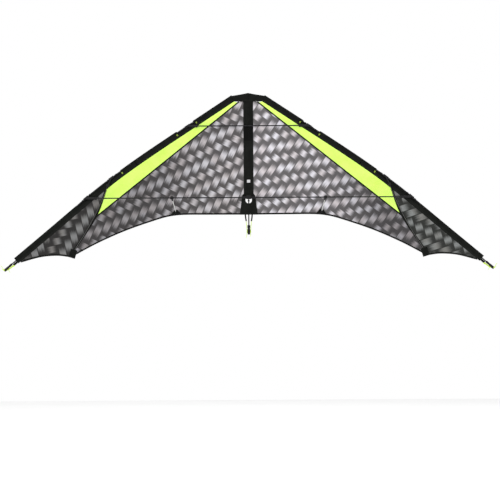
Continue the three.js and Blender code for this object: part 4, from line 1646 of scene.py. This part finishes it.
@dataclass
class CentreCloth(WingPart):
    """Half of the cloth over the spine: the long strip, the nose patch and the tail patch."""

    strip_half_width: float = 24.0
    bend_width: float = 16.0
    nose_width: float = 85.0
    tail_edge: float = -84.0
    tail_top: float = 20.0
    tail_half_width: float = 44.0
    tail_shoulder: float = 32.0
    hole_radius: float = 15.5
    hole_ends: tuple[float, float] = (-13.0, -6.0)

    def hinge(self, part: str, mesh: Mesh, finish: Finish, *nodes: str) -> Object:
        """Makes a piece between the spine and the wing, in place of some of the frame's nodes.

        Args:
            part: The piece's name without its side.
            mesh: Its mesh, which is freed.
            finish: What it is made of.
            *nodes: The nodes that it stands for, without their side.

        Returns:
            The object.
        """
        made = piece(self.name(part), mesh, finish)
        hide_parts(*(self.name(node) for node in nodes))
        end = (self.side.value * self.bend_width * MM, 0, 0)
        self.side.wing
        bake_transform(made)
        return made

    def build_strip(self) -> None:
        """The strip over the spine, with a glossier stretch behind the upper spreader."""

        def spot(u: float, v: float) -> Vector:
            """Where it lies at a share along and a share across."""
            p = Vector((mix(0, self.strip_half_width, v), mix(self.tail_top - 4, 471, u)))
            return Planform.on_sail(self.side, p, 0.9)

        finish = WovenTape("spine_strip", rows=(20.0, 22.5), gloss=(274.0, 360.0))
        declare_cut(self.hinge("spine_cover", cloth(120, 10, spot, 0.6), finish, "spine_strip"), spot)

    def build_bands(self) -> None:
        """The sewn bands that cross the strip."""
        for n, (low, high) in enumerate(((56.0, 60.0), (272.0, 278.0), (357.0, 362.0))):

            def spot(u: float, v: float) -> Vector:
                """Where it lies at a share along and a share across."""
                p = Vector((mix(0, self.strip_half_width, v), mix(low, high, u)))
                return Planform.on_sail(self.side, p, 1.5)

            self.hinge(f"cover_band_{n + 1}", cloth(2, 10, spot, 0.5), WovenTape())

    def build_nose(self) -> None:
        """The stiff doubled patch over the nose."""

        def spot(u: float, v: float) -> Vector:
            """Where it lies at a share along and a share across."""
            x = mix(0, self.nose_width, u)
            z = mix(Planform.nose_edge, Planform.nose_top.at(x), v)
            return self.across(x - (1 - v) * u * 18.5, -0.1, z) * MM

        finish = WovenTape("nose_webbing", rows=(3.0, 5.5))
        declare_cut(self.hinge("nose_cover", cloth(40, 16, spot, 2.4), finish, "nose_patch"), spot)

    def reach(self, angle: float, inside: Callable[[float, float], bool]) -> float:
        """How far a shape reaches from the middle of the hole in one direction.

        Args:
            angle: The direction, from a quarter turn down to a quarter turn up, in radians.
            inside: Says whether a point of the plane of the span lies in the shape.

        Returns:
            The distance in millimetres.
        """
        near, far = 0.0, 120.0
        for _ in range(26):
            away = (near + far) / 2
            if inside(away * math.cos(angle), sum(self.hole_ends) / 2 + away * math.sin(angle)):
                near = away
            else:
                far = away
        return near

    def in_hole(self, x: float, z: float) -> bool:
        """Whether a point lies in the hole, which is a slot with round ends."""
        low, high = self.hole_ends
        return math.hypot(x, z - min(max(z, low), high)) < self.hole_radius

    def in_patch(self, x: float, z: float) -> bool:
        """Whether a point lies in the outline of the tail patch."""
        v = (z - self.tail_edge) / (self.tail_top - self.tail_edge)
        if v > 0.9:
            width = mix(self.tail_shoulder, self.strip_half_width - 1, (v - 0.9) / 0.1)
        else:
            width = mix(self.tail_half_width, self.tail_shoulder, v / 0.9)
        return 0 <= v <= 1 and x <= width

    def build_tail(self) -> None:
        """The patch over the tail, with its round hole behind the centre fitting."""

        def spot(u: float, v: float) -> Vector:
            """Where it lies at a share along and a share across."""
            angle = mix(-math.pi / 2, math.pi / 2, u)
            away = mix(self.reach(angle, self.in_hole), self.reach(angle, self.in_patch), v)
            p = Vector((away * math.cos(angle), sum(self.hole_ends) / 2 + away * math.sin(angle)))
            return Planform.on_sail(self.side, p, 1.8)

        finish = WovenTape("tail_dacron", rows=(1.6, 3.6))
        declare_cut(self.hinge("tail_cover", cloth(96, 12, spot, 0.8), finish, "tail_patch"), spot)

    def build(self) -> None:
        """Makes all of it."""
        self.build_strip()
        self.build_bands()
        self.build_nose()
        self.build_tail()


def build_label() -> None:
    """The small plain woven label on the middle of the strip."""

    def spot(u: float, v: float) -> Vector:
        """Where it lies at a share along and a share across."""
        return Vector((mix(-8, 8, v), -3.0, mix(73, 87, u))) * MM

    made = piece("strip_label", cloth(8, 10, spot, 0.5), WovenLabel())
    carried(made, "spine")


@dataclass
class Trim(WingPart):
    """The patches, the tip tab and the tip line of one wing."""

    def patch(self, part: str, columns: int, rows: int, spot: Spot, node: str) -> None:
        """Makes one sewn patch of the wing and measures its cut without keeping the numbers."""
        declare_cut(self.carry(part, cloth(columns, rows, spot, 0.9), SEWN_BOTH_EDGES, node), spot)

    def build_patches(self) -> None:
        """The patches behind the standoff and at the foot of the batten."""
        foot = Planform.batten_line[2]

        def standoff_spot(u: float, v: float) -> Vector:
            """Where it lies at a share along and a share across."""
            x = mix(-30, 30, u) * (1 - 0.75 * v) + 359
            return Planform.on_sail(self.side, Vector((x, Planform.trailing_edge.at(x) + v * 27)), 2.4)

        def corner_spot(u: float, v: float) -> Vector:
            """Where it lies at a share along and a share across."""
            x = foot.x + mix(-15, 15, u) - mix(-5, 7, v)
            z = mix(foot.y - 29, foot.y + 11, v) + (u - 0.5) * 9
            return Planform.on_sail(self.side, Vector((x, z)), 2.2)

        self.patch("standoff_backing", 24, 12, standoff_spot, "standoff_patch")
        self.patch("batten_corner", 16, 16, corner_spot, "corner_patch")

    def build_tab(self) -> None:
        """The webbing tab at the end of the sleeve."""
        end = Planform.sleeve_point(1150, 23.5)
        run = (Planform.rod(Side.RIGHT, 1150) - Planform.rod(Side.RIGHT, 1100)).normalized()

        def spot(u: float, v: float) -> Vector:
            """Where it lies at a share along and a share across."""
            d, s = mix(-6, 24, u), mix(-5.5, 5.5, v)
            return self.across(end.x + run.x * d + run.z * s, -0.2, end.y + run.z * d - run.x * s) * MM

        finish = WovenTape("tip_webbing", rows=(1.5, 7.5))
        self.carry("tip_webbing", cloth(20, 6, spot, 2.0), finish, "tip_tab")

    def build_line(self) -> None:
        """The line that pulls the sleeve's end tight over the nock, its knot and its cut ends."""
        start = Planform.sleeve_point(1150, 26)
        place = lambda x, z, y: self.across(start.x + x, y, start.y + z)
        route = [(19.5, -17.2, 0), (38, -31, 3.5), (55.2, -40, 6), (62.6, -39.9, 0.4), (65.2, -39.1, -2.3)]
        knots = [((66, -38, -4.2), 2.8), ((18, -17, -3.6), 3.0), ((44, -35.5, 4.6), 2.4)]
        whiskers = [
            [(66, -37, -4.6), (71, -30, -6.5), (76, -22, -7), (81, -16.5, -7.5)],
            [(66, -39, -4.6), (72, -35, -6.2), (77, -31, -6.4)],
            [(44, -36, 4.6), (41, -43, 4.2), (37, -49, 3.5)],
        ]
        second = [(x + 1.6, z + 2.0, y - 2.8) for x, z, y in route[:-1]] + route[-1:]
        cord = lambda points, steps, radius, sides: tube(
            curve([place(*p) * MM for p in points], steps), radius, 0, sides, 2.5)
        parts = [cord(strand, 10, 1.8, 12) for strand in (route, second)]
        parts += [knot(place(*p), radius) for p, radius in knots]
        parts += [cord(line, 6, 1.0, 10) for line in whiskers]
        self.carry("tip_bungee", joined(parts), BraidedLine(), "tip_tension_line")

    def build(self) -> None:
        """Makes all of it."""
        self.build_patches()
        self.build_tab()
        self.build_line()


# ---------------------------------------------------------------- the studio


@dataclass
class Studio:
    """The camera, the lights and the pale floor."""

    distance: float = 17.0
    height: float = -0.257
    shift_x: float = 0.005
    roll: float = 0.33
    lens: float = 250.0
    floor_z: float = -1.25

    def build_camera(self) -> None:
        """A level camera straight in front of the kite."""
        data = bpy.data.cameras.new("camera")
        data.lens = self.lens
        data.sensor_width = 36.0
        camera = bpy.data.objects.new("camera", data)
        bpy.context.scene.collection.objects.link(camera)
        camera.location = (self.shift_x, -self.distance, self.height)
        camera.rotation_euler = (math.radians(90), 0, 0)
        camera.rotation_mode = "XYZ"
        turn = Matrix.Rotation(math.radians(self.roll), 4, "Y")
        facing = camera.rotation_euler.to_matrix().to_4x4()
        camera.matrix_world = Matrix.Translation(camera.location) @ turn @ facing
        bpy.context.scene.camera = camera

    def build_light(self, name: str, place: Vector, size: float, power: float) -> None:
        """One soft light, turned to the kite.

        Args:
            name: The light's name.
            place: Where it hangs, in metres.
            size: The side of its square, in metres.
            power: Its power in watts.
        """
        data = bpy.data.lights.new(name, "AREA")
        data.size = size
        data.energy = power
        lamp = bpy.data.objects.new(name, data)
        bpy.context.scene.collection.objects.link(lamp)
        lamp.location = place
        lamp.rotation_mode = "QUATERNION"
        lamp.rotation_quaternion = (-place).to_track_quat("-Z", "Y")

    def build_room(self) -> None:
        """A pale floor and an even white surrounding."""
        made = bmesh.new()
        bmesh.ops.create_grid(made, x_segments=8, y_segments=8, size=6.0)
        bmesh.ops.translate(made, vec=Vector((0, 0, self.floor_z)), verts=made.verts)
        data = bpy.data.meshes.new("floor")
        made.to_mesh(data)
        made.free()
        shader = Shader("floor_paint")
        x, y, _ = shader.place(scale=1.0)
        mottle = shader.noise(shader.vector(x, y, 0.0), 3.0, 2.0)
        shader.set(base_color=shader.blend(mottle, grey(0.86), grey(0.9)), roughness=0.9)
        data.materials.append(shader.material)
        floor = bpy.data.objects.new("floor", data)
        bpy.context.scene.collection.objects.link(floor)
        floor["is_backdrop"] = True
        world = bpy.data.worlds.new("white_room")
        world.use_nodes = True
        world.node_tree.nodes["Background"].inputs["Color"].default_value = grey(1.0)
        world.node_tree.nodes["Background"].inputs["Strength"].default_value = 1.0
        bpy.context.scene.world = world

    def build(self) -> None:
        """Makes all of it."""
        self.build_light("key", Vector((-2.4, -3.4, 2.6)), 2.4, 90)
        self.build_light("fill", Vector((2.8, -3.2, 1.0)), 3.0, 40)
        self.build_light("back", Vector((0.5, 3.6, 2.4)), 2.6, 60)
        self.build_room()


def main() -> None:
    """Builds the kite, sub-assembly by sub-assembly, and the studio round it."""
    logging.basicConfig(level=logging.INFO, format="%(name)s %(message)s")
    bpy.context.scene.view_settings.view_transform = "Standard"
    studio = Studio()
    studio.build_camera()
    assemblies: list[CentreFrame | Tail | WingFrame | Standoff | Sail | LeadingEdge | CentreCloth | Trim] = [
        CentreFrame(), Tail(),
    ]
    for side in Side:
        assemblies += [part(side) for part in (WingFrame, Standoff, Sail, LeadingEdge, CentreCloth, Trim)]
    for assembly in assemblies:
        assembly.build()
    build_label()
    studio.build()


if __name__ == "__main__":
    main()
    visual_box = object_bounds()
    {"cad": [list(c) for c in CAD_BOX], "visual": [list(c) for c in visual_box]}
